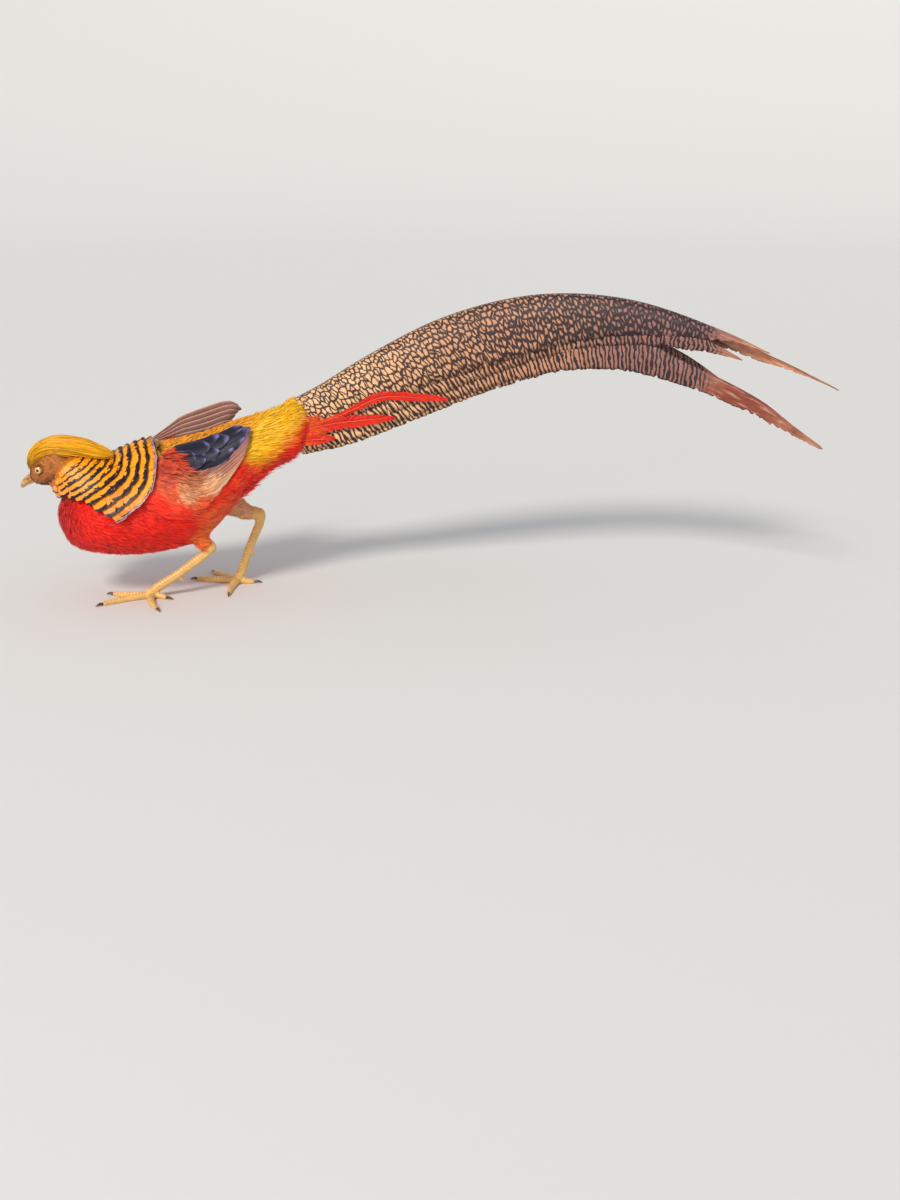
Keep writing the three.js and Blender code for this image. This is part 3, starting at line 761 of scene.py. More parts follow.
skin = moulded("skin", body["nodes"], body["grain"], body["firstRounds"], body["swell"])
form = pointsOf(skin)
weights = 1 - 0.85 * np.maximum(faceShare(form), thighShare(form)[0])
group = skin.vertex_groups.new(name="rounding")
for level in range(1, 11):
    members = np.nonzero(np.round(weights * 10) == level)[0]
    group.add(members.tolist(), level / 10, "REPLACE")
rounding = skin.modifiers.new("rounding", "SMOOTH")
rounding.factor, rounding.iterations, rounding.vertex_group = 0.5, body["rounds"], "rounding"
applyAll(skin)
skin.vertex_groups.clear()
outerForm = readSurface(skin)  # where the coat ends, before the skin sinks in
form = pointsOf(skin)
setPoints(skin, form - normalsOf(skin) * (coatDepth(form) + slimming(form) + body["swell"])[:, None])
print("skin shaped,", len(skin.data.vertices), "points")

# Tail: a long vault of feathers laid one under another, by share of its length and by height

tail = {
    "line": [(112, 3, 169), (160, 3, 185.5), (207, 1, 207.5), (290, -12, 244.5), (368, -34, 265.5),
             (445, -64, 267.5), (520, -100, 247), (581, -128, 219), (648, -158, 183)],
    "height": [(0, 49), (0.12, 66), (0.28, 77), (0.45, 76), (0.62, 66), (0.8, 60), (1, 60)],
    "halfWidth": [(0, 25), (0.25, 30), (0.6, 24), (1, 8)],
    "layer": 2.4,
    "rowGap": 2.2,
    "columns": 12,
    "vault": 1.6,  # how much each feather bulges over its own width
    "thickness": 0.6,
    "shaft": 0.58,  # where the shaft lies across a feather
}


def tailLine():
    points = np.array(tail["line"], float)
    points = np.concatenate([[2 * points[0] - points[1]], points, [2 * points[-1] - points[-2]]])
    dense = []
    for i in range(1, len(points) - 2):
        p0, p1, p2, p3 = points[i - 1: i + 3]
        d0, d1, d2 = (math.sqrt(np.linalg.norm(b - a)) for a, b in ((p0, p1), (p1, p2), (p2, p3)))
        t1 = ((p1 - p0) / d0 - (p2 - p0) / (d0 + d1) + (p2 - p1) / d1) * d1
        t2 = ((p2 - p1) / d1 - (p3 - p1) / (d1 + d2) + (p3 - p2) / d2) * d1
        t = np.linspace(0, 1, 60, endpoint=False)[:, None]
        dense.append(p1 + t1 * t + (-3 * p1 + 3 * p2 - 2 * t1 - t2) * t**2
                     + (2 * p1 - 2 * p2 + t1 + t2) * t**3)
    dense = np.concatenate(dense + [points[-2:-1]])
    length = np.concatenate([[0], np.cumsum(np.linalg.norm(np.diff(dense, axis=0), axis=1))])
    even = np.linspace(0, length[-1], 801)
    return np.stack([np.interp(even, length, dense[:, k]) for k in range(3)], 1), length[-1]


tailPoints, tailLength = tailLine()
tailWays = unit(np.gradient(tailPoints, axis=0))


def onTail(place, across, side, lift):
    place, across, lift = np.broadcast_arrays(*(np.asarray(v, float) for v in (place, across, lift)))
    at = np.clip(place, 0, 1) * 800
    middle, way = (np.stack([np.interp(at, np.arange(801), table[:, k]) for k in range(3)], -1)
                   for table in (tailPoints, tailWays))
    sideways = unit(np.cross(np.array((0, 0, 1.0)), way))
    up = np.cross(way, sideways)
    height, half = smoothAt(tail["height"], place), smoothAt(tail["halfWidth"], place)
    outward = unit(np.stack([half, 2 * height * across], -1))
    return (middle + up * (height / 2 - height * across**2 + lift * outward[..., 0])[..., None]
            + sideways * (side * (half * across + lift * outward[..., 1]))[..., None])


def tailVault(end, rows=14, columns=20):
    # the outside of the tail's root, for the feathers of the rump to lie on
    place, across = np.meshgrid(np.linspace(0.0, end, rows), np.linspace(-1, 1, columns), indexing="ij")
    lift = 1.5 - 4.0 * (1 - ease(place, 0.0, 0.025))
    side = np.where(across < 0, -1.0, 1.0)
    points = onTail(place, np.abs(across), 1, lift)
    left = onTail(place, np.abs(across), -1, lift)
    points = np.where((side < 0)[..., None], left, points).reshape(-1, 3)
    quads = gridQuads(rows - 1, columns - 1)
    return points, np.concatenate([quads[:, [0, 3, 1]], quads[:, [1, 3, 2]]])


# Colours of the plumage, by place on the body

tones = {
    "scarlet": tone(252, 30, 2), "shadedDeepRed": tone(150, 10, 26), "salmon": tone(255, 122, 52),
    "gold": tone(255, 200, 10), "orange": tone(250, 120, 10), "backGold": tone(247, 168, 20),
    "tan": tone(204, 126, 58), "throat": tone(138, 70, 52), "thighBrown": tone(255, 118, 44),
    "thighSalmon": tone(255, 200, 150), "green": tone(10, 40, 28), "capeGold": tone(252, 160, 10),
    "capePale": tone(246, 152, 58), "capeDark": tone(24, 8, 26), "lavender": tone(182, 160, 190),
    "shoulderRed": tone(206, 66, 34), "shoulderOrange": tone(240, 92, 40),
    "shoulderTan": tone(206, 132, 78), "shoulderCream": tone(246, 190, 140),
    "blue": tone(14, 12, 38), "legYellow": tone(238, 190, 112), "lid": tone(214, 170, 112),
}
capeEdge = [(-56, 250), (-34, 172), (-28, 147), (-35, 122), (-49, 107), (-66, 95), (-128, 58)]
capeOutline = [(-34, 172), (-27, 146), (-35, 122), (-50, 106), (-66, 95), (-90, 105), (-112, 116), (-129, 112),
               (-134, 122), (-124, 138), (-108, 146), (-100, 196), (-44, 205)]
wingOutline = [(-42, 150), (-34, 158), (-8, 163), (14, 167), (43, 175), (66, 184), (64, 170), (62, 158),
               (47, 138), (25, 118), (2, 106), (-12, 106), (-25, 104), (-38, 122)]


def lineDistance(line, x, z):
    best = np.full(len(x), 1e9)
    for (x0, z0), (x1, z1) in zip(line, line[1:]):
        dx, dz = x1 - x0, z1 - z0
        t = np.clip(((x - x0) * dx + (z - z0) * dz) / (dx * dx + dz * dz), 0, 1)
        best = np.minimum(best, np.hypot(x - x0 - t * dx, z - z0 - t * dz))
    return best


def insideOf(outline, x, z):
    inside = np.zeros(len(x), bool)
    for (x0, z0), (x1, z1) in zip(outline, outline[1:] + outline[:1]):
        crosses = (z0 > z) != (z1 > z)
        with np.errstate(divide="ignore", invalid="ignore"):
            inside ^= crosses & (x < (x1 - x0) * (z - z0) / (z1 - z0 if z1 != z0 else 1e-9) + x0)
    return inside


def depthInside(outline, x, z):
    distance = lineDistance(outline + outline[:1], x, z)
    return np.where(insideOf(outline, x, z), distance, -distance)


def capeShare(points):
    return ease(depthInside(capeOutline, points[:, 0], points[:, 2]), 6, 12)


markings = {
    # where one colour gives way to the next, from and to: x in mm, up as a share of the body's half height
    "shadedBreastFront": (100, 128), "flankX": (-6, 30), "flankUp": (-0.1, 0.25), "flankLow": (-0.2, 0.45),
    "goldSlope": 0.0105, "goldFrom": 66, "goldRise": 0.21, "goldEdge": (-0.16, 0.16), "goldX": (48, 62),
    "goldDeepens": (-0.3, 0.25), "rearX": (40, 70), "backUp": (0.62, 0.8), "backX": (-44, -32),
    "mantleUp": (0.5, 0.7), "mantleStart": (-60, -48), "mantleEnd": (-36, -30), "throat": (4, 13),
}


def plumageAt(points):
    # one colour a place, for the skin and for the feathers rooted there
    x, up = points[:, 0], upOnBody(points)
    ripple = wander(points, 16, 3)
    colour = allOf(tones["scarlet"], len(points))
    # painted shade: the front of the breast goes to a darker deep red, partly its own colour and partly shade
    dark = 0.45 * ease(-x, *markings["shadedBreastFront"]) * (1 - faceShare(points))
    colour = blendTones(colour, tones["shadedDeepRed"], dark)
    flank = ease(x + ripple * 10, *markings["flankX"]) * (1 - ease(up + ripple * 0.1, *markings["flankUp"]))
    streak = 0.5 + 0.6 * wander(points, 5, 13)
    low = np.clip(streak, 0, 1) * flank * ease(-up, *markings["flankLow"])
    colour = blendTones(colour, tones["salmon"], low)
    line = markings["goldSlope"] * (x - markings["goldFrom"])  # the gold comes down lower further back
    golden = ease(up + ripple * 0.1 + markings["goldRise"] - line, *markings["goldEdge"])
    golden = golden * ease(x + 30 * up, *markings["goldX"])
    deep = ease(up - line, *markings["goldDeepens"])
    warm = blendTones(allOf(tones["orange"], len(points)), tones["gold"], deep)
    rear = ease(x, *markings["rearX"])
    colour = blendTones(colour, tones["scarlet"], rear * (1 - golden))
    colour = blendTones(colour, warm, golden)
    back = ease(up, *markings["backUp"]) * ease(x, *markings["backX"])
    colour = blendTones(colour, tones["backGold"], back * (1 - rear))
    green = ease(up, *markings["mantleUp"]) * ease(x, *markings["mantleStart"])
    colour = blendTones(colour, tones["green"], green * (1 - ease(x + ripple * 3, *markings["mantleEnd"])))
    colour = thighTint(points, colour)
    colour = blendTones(colour, tones["capeGold"], capeShare(points) * 0.9)
    throat = ease(-headPlace(points)[1], *markings["throat"])
    face = blendTones(allOf(tones["tan"], len(points)), tones["throat"], throat)
    return blendTones(colour, face, faceShare(points))


def feathersLie(points, _=None):
    # the way the feathers lie over the body, down the thighs and back over the head
    slope, up, _ = bodyPlace(points)
    x = points[:, 0]
    droop = 0.3 + 0.75 * ease(-x, 84, 122) - 0.2 * ease(x, 20, 80)
    droop = droop + 0.35 * ease(x, 50, 110) * ease(-up, -0.3, 0.8)
    bend = 0.16 * wander(points, 26, 7)
    way = np.stack([np.ones_like(x), np.sign(points[:, 1]) * 0.12 * ease(x, 40, 100), slope - droop + bend], 1)
    share, down = thighShare(points)
    way = unit(way) * (1 - share)[:, None] + down
    face = faceShare(points)[:, None]
    return unit(way * (1 - face) + (-headForward + headUp * 0.12) * face)


paintPoints(skin, plumageAt(pointsOf(skin)))
pick(skin)
bpy.ops.object.mode_set(mode="EDIT")
bpy.ops.mesh.select_all(action="SELECT")
bpy.ops.uv.smart_project(angle_limit=1.15, island_margin=0.004)
bpy.ops.object.mode_set(mode="OBJECT")
skin.data.uv_layers[0].name = "OFBake"
vaneLayer = skin.data.uv_layers.new(name="vane")
vaneLayer.data.foreach_set("uv", np.ones(len(skin.data.loops) * 2))
finishPiece(skin, plumage["skin"], "scarlet_plumage", *body["nodes"])
skinSurface = readSurface(skin, *tailVault(0.16))
print("skin painted and unwrapped")

# Coat of the body

coat = {
    "places": 150000, "fringePlaces": 60000,
    "gap": 2.4, "faceGap": 1.0, "thighGap": 1.8, "fringeGap": 3.4,
    "breast": {"blades": 9, "rows": 3, "round": 0.3, "ragged": 0.25, "width": 2.9, "bladeShare": 1.5,
               "rootLift": -0.1, "arch": 0.12, "roll": 0.3, "flyaway": 0.25, "variety": 0.1},
    "breastLength": 15.0,
    "rump": {"blades": 8, "rows": 4, "round": 0.25, "ragged": 0.35, "width": 3.2, "bladeShare": 1.2,
             "rootLift": -0.05, "arch": 0.1, "roll": 0.45, "flyaway": 0.45, "variety": 0.11},
    "rumpLength": 27.0,
    "face": {"blades": 5, "rows": 2, "round": 0.2, "ragged": 0.2, "width": 1.2, "bladeShare": 1.5,
             "rootLift": -0.2, "arch": 0.1, "roll": 0.3, "flyaway": 0.08, "variety": 0.12},
    "faceLength": 4.4,
    "thigh": {"blades": 6, "rows": 3, "round": 0.3, "ragged": 0.25, "width": 1.9, "bladeShare": 1.5,
              "rootLift": -0.1, "arch": 0.1, "roll": 0.3, "flyaway": 0.2, "variety": 0.1},
    "thighLength": 8.5,
    "fringe": {"blades": 7, "rows": 4, "round": 0.3, "ragged": 0.4, "width": 2.6, "bladeShare": 1.3,
               "rootLift": 0.1, "arch": 0.0, "roll": 0.5, "flyaway": 0.6, "variety": 0.12},
    "fringeLength": 24, "fringeLift": 7.0,
    "small": 3000,  # fewer tufts than this stay one piece
}
slots = {"face": "face_plumage", "rump": "golden_plumage"}


def eyeAway(points):
    forward, up, side = headPlace(points)
    away = np.linalg.norm(np.stack([forward - head["eye"][0], up - head["eye"][1]], 1), axis=1)
    return away + 40 * (np.abs(side) < 6)


def rootGap(points):
    # how close the roots stand, nought where other feathers cover or nothing grows
    x, z = points[:, 0], points[:, 2]
    _, up, out = bodyPlace(points)
    gap = np.full(len(points), coat["gap"])
    face = faceShare(points)
    gap = gap * (1 - face) + (coat["faceGap"] + 0.35 * ease(eyeAway(points), 5, 9)) * face
    gap = np.where(thighShare(points)[0] > 0.5, coat["thighGap"], gap)
    covered = (depthInside(capeOutline, x, z) > 9) & (face < 0.5)
    covered |= (depthInside(wingOutline, x, z) > 8) & (up < 0.8)
    covered |= (x < -48) & (z > 148) & (face < 0.5)
    covered |= (face > 0.5) & ((eyeAway(points) < 4.1) | (headPlace(points)[0] > 17.2))
    covered |= (x > 114) & (np.hypot(up, out) < 0.45)
    return np.where(covered, 0.0, gap)


def growCoat(kind, chosen, lengths, lie, look, material, tints=None):
    path, ups = walk(skinSurface, chosen, lie, lengths, 4)
    tints = plumageAt(chosen) if tints is None else tints
    bakeAt = bakePlace(skinSurface, chosen)
    halves = {"Left": chosen[:, 1] < 0, "Right": chosen[:, 1] >= 0}
    if len(chosen) < coat["small"]:
        halves = {"": np.full(len(chosen), True)}
    for half, part in halves.items():
        partLook = dict(look, lift=look["lift"][part])
        tufts = bladeTufts(path[part], ups[part], partLook, tints[part], bakeAt[part])
        growPiece(f"coat_{kind}{half}", [tufts], material, slots.get(kind, "scarlet_plumage"))


roots = scatter(skinSurface, coat["places"], rootGap, 5)
rootFace, rootThigh = faceShare(roots), thighShare(roots)[0]
rootBack = (roots[:, 0] > -34) & (upOnBody(roots) > 0.7)
kinds = {
    "face": rootFace > 0.5,
    "thigh": (rootThigh > 0.5) & (rootFace <= 0.5),
    "rump": ((roots[:, 0] > 46) | rootBack) & (rootThigh <= 0.5) & (rootFace <= 0.5),
}
kinds["breast"] = ~(kinds["face"] | kinds["thigh"] | kinds["rump"])
for kind, member in kinds.items():
    chosen = roots[member]
    lengths = coat[kind + "Length"] * dice.uniform(0.8, 1.2, len(chosen))
    depth = coatDepth(chosen) * 1.12
    if kind == "rump":
        lengths *= 0.5 + 0.5 * ease(chosen[:, 0], 0, 80)
        lengths *= 1 - (0.35 + 0.33 * ease(upOnBody(chosen), -0.3, 0.4)) * ease(chosen[:, 0], 84, 116)
        depth = np.maximum(depth, 2.6) + 3.2 * ease(chosen[:, 0], 90, 107) * ease(upOnBody(chosen), 0.1, 0.7)
    if kind == "thigh":  # shortest where the leg comes out
        heels = [np.array(leg["thigh"][-1], float) for leg in legLines.values()]
        heel = np.min([np.linalg.norm(chosen - end, axis=1) for end in heels], axis=0)
        lengths *= 0.45 + 0.55 * ease(heel, 6, 18)
        depth *= 0.5 + 0.5 * ease(heel, 6, 18)
    if kind == "face":
        lengths = 0.9 + (lengths - 0.9) * ease(eyeAway(chosen), 4.4, 10)
        depth += 1.2 * (1 - ease(eyeAway(chosen), 5, 10))
    growCoat(kind, chosen, lengths, feathersLie, dict(coat[kind], lift=depth),
             plumage["face" if kind == "face" else "rump" if kind == "rump" else "breast"])


def fringeGap(points):
    up = upOnBody(points)
    edge = ease(points[:, 0], 40, 62) * (points[:, 0] < 98)
    edge = edge * ease(up, -0.95, -0.7) * (1 - ease(up, -0.34, -0.2))
    return np.where((edge > 0.5) & (thighShare(points)[0] < 0.2), coat["fringeGap"], 0.0)


def fringeLie(points, _):
    return unit(feathersLie(points) + np.array((0.1, 0, -0.32)))


# The loose red fringe under the gold of the rump
chosen = scatter(skinSurface, coat["fringePlaces"], fringeGap, 29)
redShare = np.clip(0.75 + 0.5 * wander(chosen, 9, 31), 0, 1)
tints = blendTones(allOf(tones["orange"], len(chosen)), tones["scarlet"], redShare)
lengths = coat["fringeLength"] * dice.uniform(0.7, 1.25, len(chosen))
look = dict(coat["fringe"], lift=coat["fringeLift"] * dice.uniform(0.7, 1.2, len(chosen)))
growCoat("fringe", chosen, lengths, fringeLie, look, plumage["breast"], tints)

# Cape: rows of square-ended feathers with a dark bar, row on row back to its rear edge

cape = {
    "rowGap": 8.6,
    "frontGap": 5.6,
    "look": {"rows": 7, "columns": 6, "round": 0.07, "corner": 2.6, "ragged": 0.03, "width": 7.8,
             "outline": [0.35, 0.7, 0.95, 1.0, 1.0, 0.97, 0.9], "rootLift": 0.1, "arch": 0.07, "tilt": 0.045,
             "shaft": 0.2, "variety": 0.08},
    "length": 24.0,
    "lift": 10.4,
    "frontLift": 2.6,
    "places": 90000, "gap": 4.3,
    "reach": [(-300, -300), (-34, -300), (-16, 146), (-34, 300), (-300, 300)],  # no tip lies behind this
}
rowDistance, rowStep = np.linspace(0, 160, 200, retstep=True)
rowWidth = cape["rowGap"] + (cape["frontGap"] - cape["rowGap"]) * ease(rowDistance, 0, 75)
rowCount = np.cumsum(rowStep / rowWidth)


def capeRow(x, z):
    ahead = insideOf(capeEdge + [(-400, 58), (-400, 250)], x, z)
    return lineDistance(capeEdge, x, z) * np.where(ahead, 1, -1)


def capeLie(points, _=None):
    x, z = points[:, 0], points[:, 2]
    here = capeRow(x, z)
    ahead = np.stack([here - capeRow(x + 2.0, z), np.zeros(len(x)), here - capeRow(x, z + 2.0)], 1)
    return unit(ahead + 1e-6)


def capeGap(points):
    x, z = points[:, 0], points[:, 2]
    inside = depthInside(capeOutline, x, z) > -0.5
    inside &= (faceShare(points) < 0.8) & insideOf(cape["reach"], x, z)
    gap = cape["gap"] - 2.0 * ease(capeRow(x, z), 30, 85) - 0.6 * faceShare(points)
    return np.where(inside, gap, 0.0)


tips = scatter(skinSurface, cape["places"], capeGap, 11)
row = capeRow(tips[:, 0], tips[:, 2])
number = np.maximum(np.round(np.interp(row, rowDistance, rowCount)), 0)
toRow = row - np.interp(number, rowCount, rowDistance) + dice.normal(0, 0.45, len(row))
tips = nearest(skinSurface, tips + capeLie(tips) * toRow[:, None])[0]
front = ease(row, 20, 85)
byFace = faceShare(tips)
lengths = cape["length"] * dice.uniform(0.92, 1.08, len(tips)) * (1 - 0.5 * front) * (1 - 0.35 * byFace)
path, ups = walk(skinSurface, tips, capeLie, lengths, 5, back=True)
lifts = cape["lift"] + (cape["frontLift"] - cape["lift"]) * ease(row, 0, 85)
lifts = lifts + dice.normal(0, 0.2, len(tips))
widths = cape["look"]["width"] * (1 - 0.66 * front) * dice.uniform(0.9, 1.1, len(tips)) * (1 - 0.45 * byFace)
pale = ease(-tips[:, 0], 92, 118) * ease(-tips[:, 2], -134, -114)
tints = blendTones(allOf(tones["capeGold"], len(tips)), tones["capePale"], pale)
tints = blendTones(tints, tones["orange"], 0.5 * np.clip(wander(tips, 14, 44), 0, 1))


def makeCapeMaterial(name, edged):
    made, tree, shader = material(name, 0.42, sheen=0.05)
    vane = add(tree, "UVMap", uv_map="vane").outputs[0]
    parts = add(tree, "SeparateXYZ", {0: vane})
    noise = add(tree, "TexNoise", {"Vector": objectPlace(tree), "Scale": 330.0, "Detail": 1.0})
    jag = times(tree, less(tree, noise.outputs[0], 0.5), 0.1)
    place = maths(tree, "ADD", parts.outputs[1], jag)
    broken = add(tree, "TexNoise", {"Vector": objectPlace(tree), "Scale": 85.0, "Detail": 2.0})
    place = maths(tree, "MULTIPLY_ADD", less(tree, broken.outputs[0], 0.5), 0.2, place)
    dark = spread(tree, place, 0.895, 0.915)
    if edged:
        start, end = spread(tree, place, 0.915, 0.925), spread(tree, place, 0.95, 0.96, 1.0, 0.0)
        gap = times(tree, start, end)
        dark = times(tree, dark, less(tree, 1.0, gap))
    # painted shade: each cape feather darker towards its root, where the next row lies over it
    paintedRootShade = spread(tree, place, 0.45, 0.6, 0.6, 0.0)
    patch = useGroup(tree, mottle, Vector=objectPlace(tree), Size=500.0, Amount=0.5)
    lines = useGroup(tree, barbing, Map=vane, Lines=38.0, Slant=0.5)
    shade = times(tree, patch.outputs[0], spread(tree, lines.outputs["Height"], 0.0, 1.0, 0.86, 1.06))
    golden = mixed(tree, paintedRootShade, shaded(tree, tinted(tree), shade), tuple(tone(120, 40, 10)))
    barred = mixed(tree, dark, golden, tuple(tones["capeDark"]))
    if edged:
        barred = mixed(tree, spread(tree, parts.outputs[1], 0.975, 0.985), barred, tuple(tones["lavender"]))
    tree.links.new(barred, shader.inputs["Base Color"])
    bumpFrom(tree, shader, lines.outputs["Height"], 0.12, barbDepth)
    return made


capeMaterial, hemMaterial = makeCapeMaterial("barred cape", False), makeCapeMaterial("hem of the cape", True)
bakeAt = bakePlace(skinSurface, tips)
for half, side in {"left": tips[:, 1] < 0, "right": tips[:, 1] >= 0}.items():
    for name, part, finish in (("feathers", side & (number > 0.5), capeMaterial),
                               ("hem", side & (number < 0.5), hemMaterial)):
        look = dict(cape["look"], lift=lifts[part], width=widths[part])
        feathers = vaneGrid(path[part], ups[part], look, tints[part], bakeAt[part])
        growPiece(f"cape_{half}_{name}", [feathers], finish, "cape_plumage",
                  *([f"cape_{half}"] if name == "feathers" else []))

# Mantle: a few small green feathers on top, just behind the cape

mantle = {
    "places": 50000, "gap": 3.8, "length": 13,
    "from": -56, "to": -36, "above": 0.84,
    "look": {"rows": 4, "columns": 4, "round": 0.2, "ragged": 0.05, "width": 3.6, "lift": 2.6,
             "outline": [0.5, 0.9, 1.0, 0.9, 0.7], "rootLift": 0.2, "arch": 0.1, "tilt": 0.05, "shaft": 0.2,
             "variety": 0.2},
}


def mantleGap(points):
    first, last = mantle["from"], mantle["to"]
    inside = (points[:, 0] > first) & (points[:, 0] < last) & (upOnBody(points) > mantle["above"])
    return np.where(inside, mantle["gap"], 0.0)


places = scatter(outerForm, mantle["places"], mantleGap, 23)
path, ups = walk(outerForm, places, feathersLie, mantle["length"] * dice.uniform(0.85, 1.15, len(places)), 4)
duller = 0.9 * ease(places[:, 0], -44, -37)
tints = blendTones(allOf(tones["green"], len(places)), tones["backGold"] * 0.6, duller)
feathers = vaneGrid(path, ups, mantle["look"], tints, bakePlace(skinSurface, places))
growPiece("mantle_feathers", [feathers], plumage["mantle"], "cape_plumage")

# Crest: long silky barbs from the forehead back over the nape

crest = {
    # forward, up, half width, half height
    "sections": [(15, 9, 3, 1.5), (9, 16, 8, 4), (-4, 21.5, 12, 6), (-22, 19, 14, 7), (-42, 5, 13, 7),
                 (-58, -12, 9, 4.5), (-68, -24, 3, 1.5)],
    "strands": 3200,
    "startsEarly": 0.75, "early": (0.0, 0.4), "late": (0.3, 0.62),  # where along the crest a strand begins
    "long": (0.32, 0.72),  # the share of the crest that a strand runs
    "swing": 9,  # mm that the end lies over to the far side
    "look": {"blades": 3, "rows": 9, "round": 0.1, "ragged": 0.35, "width": 1.1, "bladeShare": 0.75,
             "rootLift": 0.0, "arch": 0.0, "roll": 0.7, "flyaway": 0.9, "variety": 0.17,
             "fan": [0.5, 1, 1.2, 0.9]},
}
table = np.array(crest["sections"], float)
knots = np.column_stack([np.linspace(0, 1, len(table)), table])
count = crest["strands"]
turnRound = dice.uniform(0, 2 * math.pi, count)
outward = dice.uniform(0.15, 1, count) ** 0.5
early = dice.random(count) < crest["startsEarly"]
begin = np.where(early, dice.uniform(*crest["early"], count), dice.uniform(*crest["late"], count))
finishAt = np.clip(begin + dice.uniform(*crest["long"], count), 0, 1)
steps = np.linspace(0, 1, 12)[None, :]
place = begin[:, None] + (finishAt - begin)[:, None] * steps
middle = onHead(smoothAt(knots, place, 1), smoothAt(knots, place, 2))
ahead = unit(np.gradient(middle, axis=1))
above = unit(np.cross(ahead, headSide))
above *= np.sign(above @ headUp)[..., None]
grow = np.clip(0.25 + steps / 0.3, 0, 1)
wave = 1 + 0.1 * np.sin(steps * 7 + dice.uniform(0, 6.28, (count, 1))) * steps
sideways = np.cos(turnRound)[:, None] * outward[:, None] * smoothAt(knots, place, 3) * wave
lower = np.where(np.sin(turnRound) < 0, 1.9, 1.0)[:, None] * (1 - 0.3 * ease(place, 0.7, 1))
upwards = np.sin(turnRound)[:, None] * outward[:, None] * smoothAt(knots, place, 4)
upwards = upwards * grow * wave * lower * 0.97
sideways = sideways - crest["swing"] * ease(place, 0.4, 1)
path = middle + headSide * sideways[..., None] + above * upwards[..., None]
ups = above * (0.35 + np.sin(turnRound)[:, None, None]) + headSide * np.cos(turnRound)[:, None, None]
ups = unit(ups + 1e-6)
tints = blendTones(allOf(tones["gold"], count), tones["orange"], 0.35 * dice.random(count))
bakeAt = bakePlace(skinSurface, path[:, 0])
strands = bladeTufts(path, ups, dict(crest["look"], lift=0.2), tints, bakeAt)
growPiece("crest_feathers", [strands], plumage["crest"], "golden_plumage", "crest")

# Wings: broad feathers laid on the flank by their middle lines in side view

wing = {
    "rows": 24,
    "columns": 8,
    "thickness": 0.35, "openThickness": 0.5,
    "highest": 0.9,  # how far up the back the left wing's feathers climb
    "farReach": 33.0,  # the right wing's feathers stay this far out from the middle
    # root x, z, bend x, z, tip x, z, half width, lift at root, lift at tip
    "primaries": [(-16, 107, 10, 104, 38, 130, 5.2, 0.2, 1.6), (-14, 110, 14, 108, 47, 139, 5.0, 0.5, 2.0),
                  (-12, 114, 17, 112, 54, 148, 5.0, 0.8, 2.4), (-9, 118, 20, 117, 59, 155, 5.0, 1.1, 2.8),
                  (-6, 122, 22, 122, 61, 160, 4.8, 1.4, 3.1), (-4, 127, 24, 127, 63, 164, 4.8, 1.7, 3.4),
                  (-2, 132, 26, 132, 64, 168, 4.6, 2.0, 3.7), (0, 136, 27, 137, 65, 171, 4.5, 2.3, 4.0),
                  (3, 140, 29, 142, 65, 173, 4.2, 2.6, 4.3), (5, 143, 31, 147, 65, 175, 4.0, 2.9, 4.6)],
    "tertials": [(2, 143, 24, 147, 47, 160, 7.0, 3.6, 4.8), (0, 148, 26, 155, 60, 171, 7.5, 3.8, 5.2),
                 (-2, 154, 28, 161, 66, 178, 7.5, 4.0, 5.5), (-8, 157, 24, 165, 58, 179, 6.5, 4.2, 5.6),
                 (-6, 150, 14, 152, 33, 158, 7.5, 4.6, 6.2), (-8, 155, 16, 160, 44, 170, 7.5, 4.8, 6.4),
                 (-12, 158, 8, 162, 34, 171, 7.0, 5.0, 6.6), (-8, 149, 4, 149, 19, 152, 7.5, 5.4, 7.0),
                 (-12, 155, 4, 157, 24, 163, 7.5, 5.6, 7.2), (-14, 150, -4, 150, 9, 154, 7.0, 6.2, 7.6)],
}


def flankPoint(x, z, side, lift):
    # on the body's side at x and z, lifted off it; the wing lies on this
    middle, wide, high = (smoothAt(body["sections"], x, k) for k in (1, 2, 3))
    most = wing["highest"]
    if side > 0:
        most = np.sqrt(np.clip(1 - (wing["farReach"] / (wide + lift)) ** 2, 0.05, 0.97))
    up = np.clip((z - middle) / (high + lift), -0.985, most)
    return np.stack([x, side * (wide + lift) * np.sqrt(1 - up**2), middle + up * (high + lift)], -1)


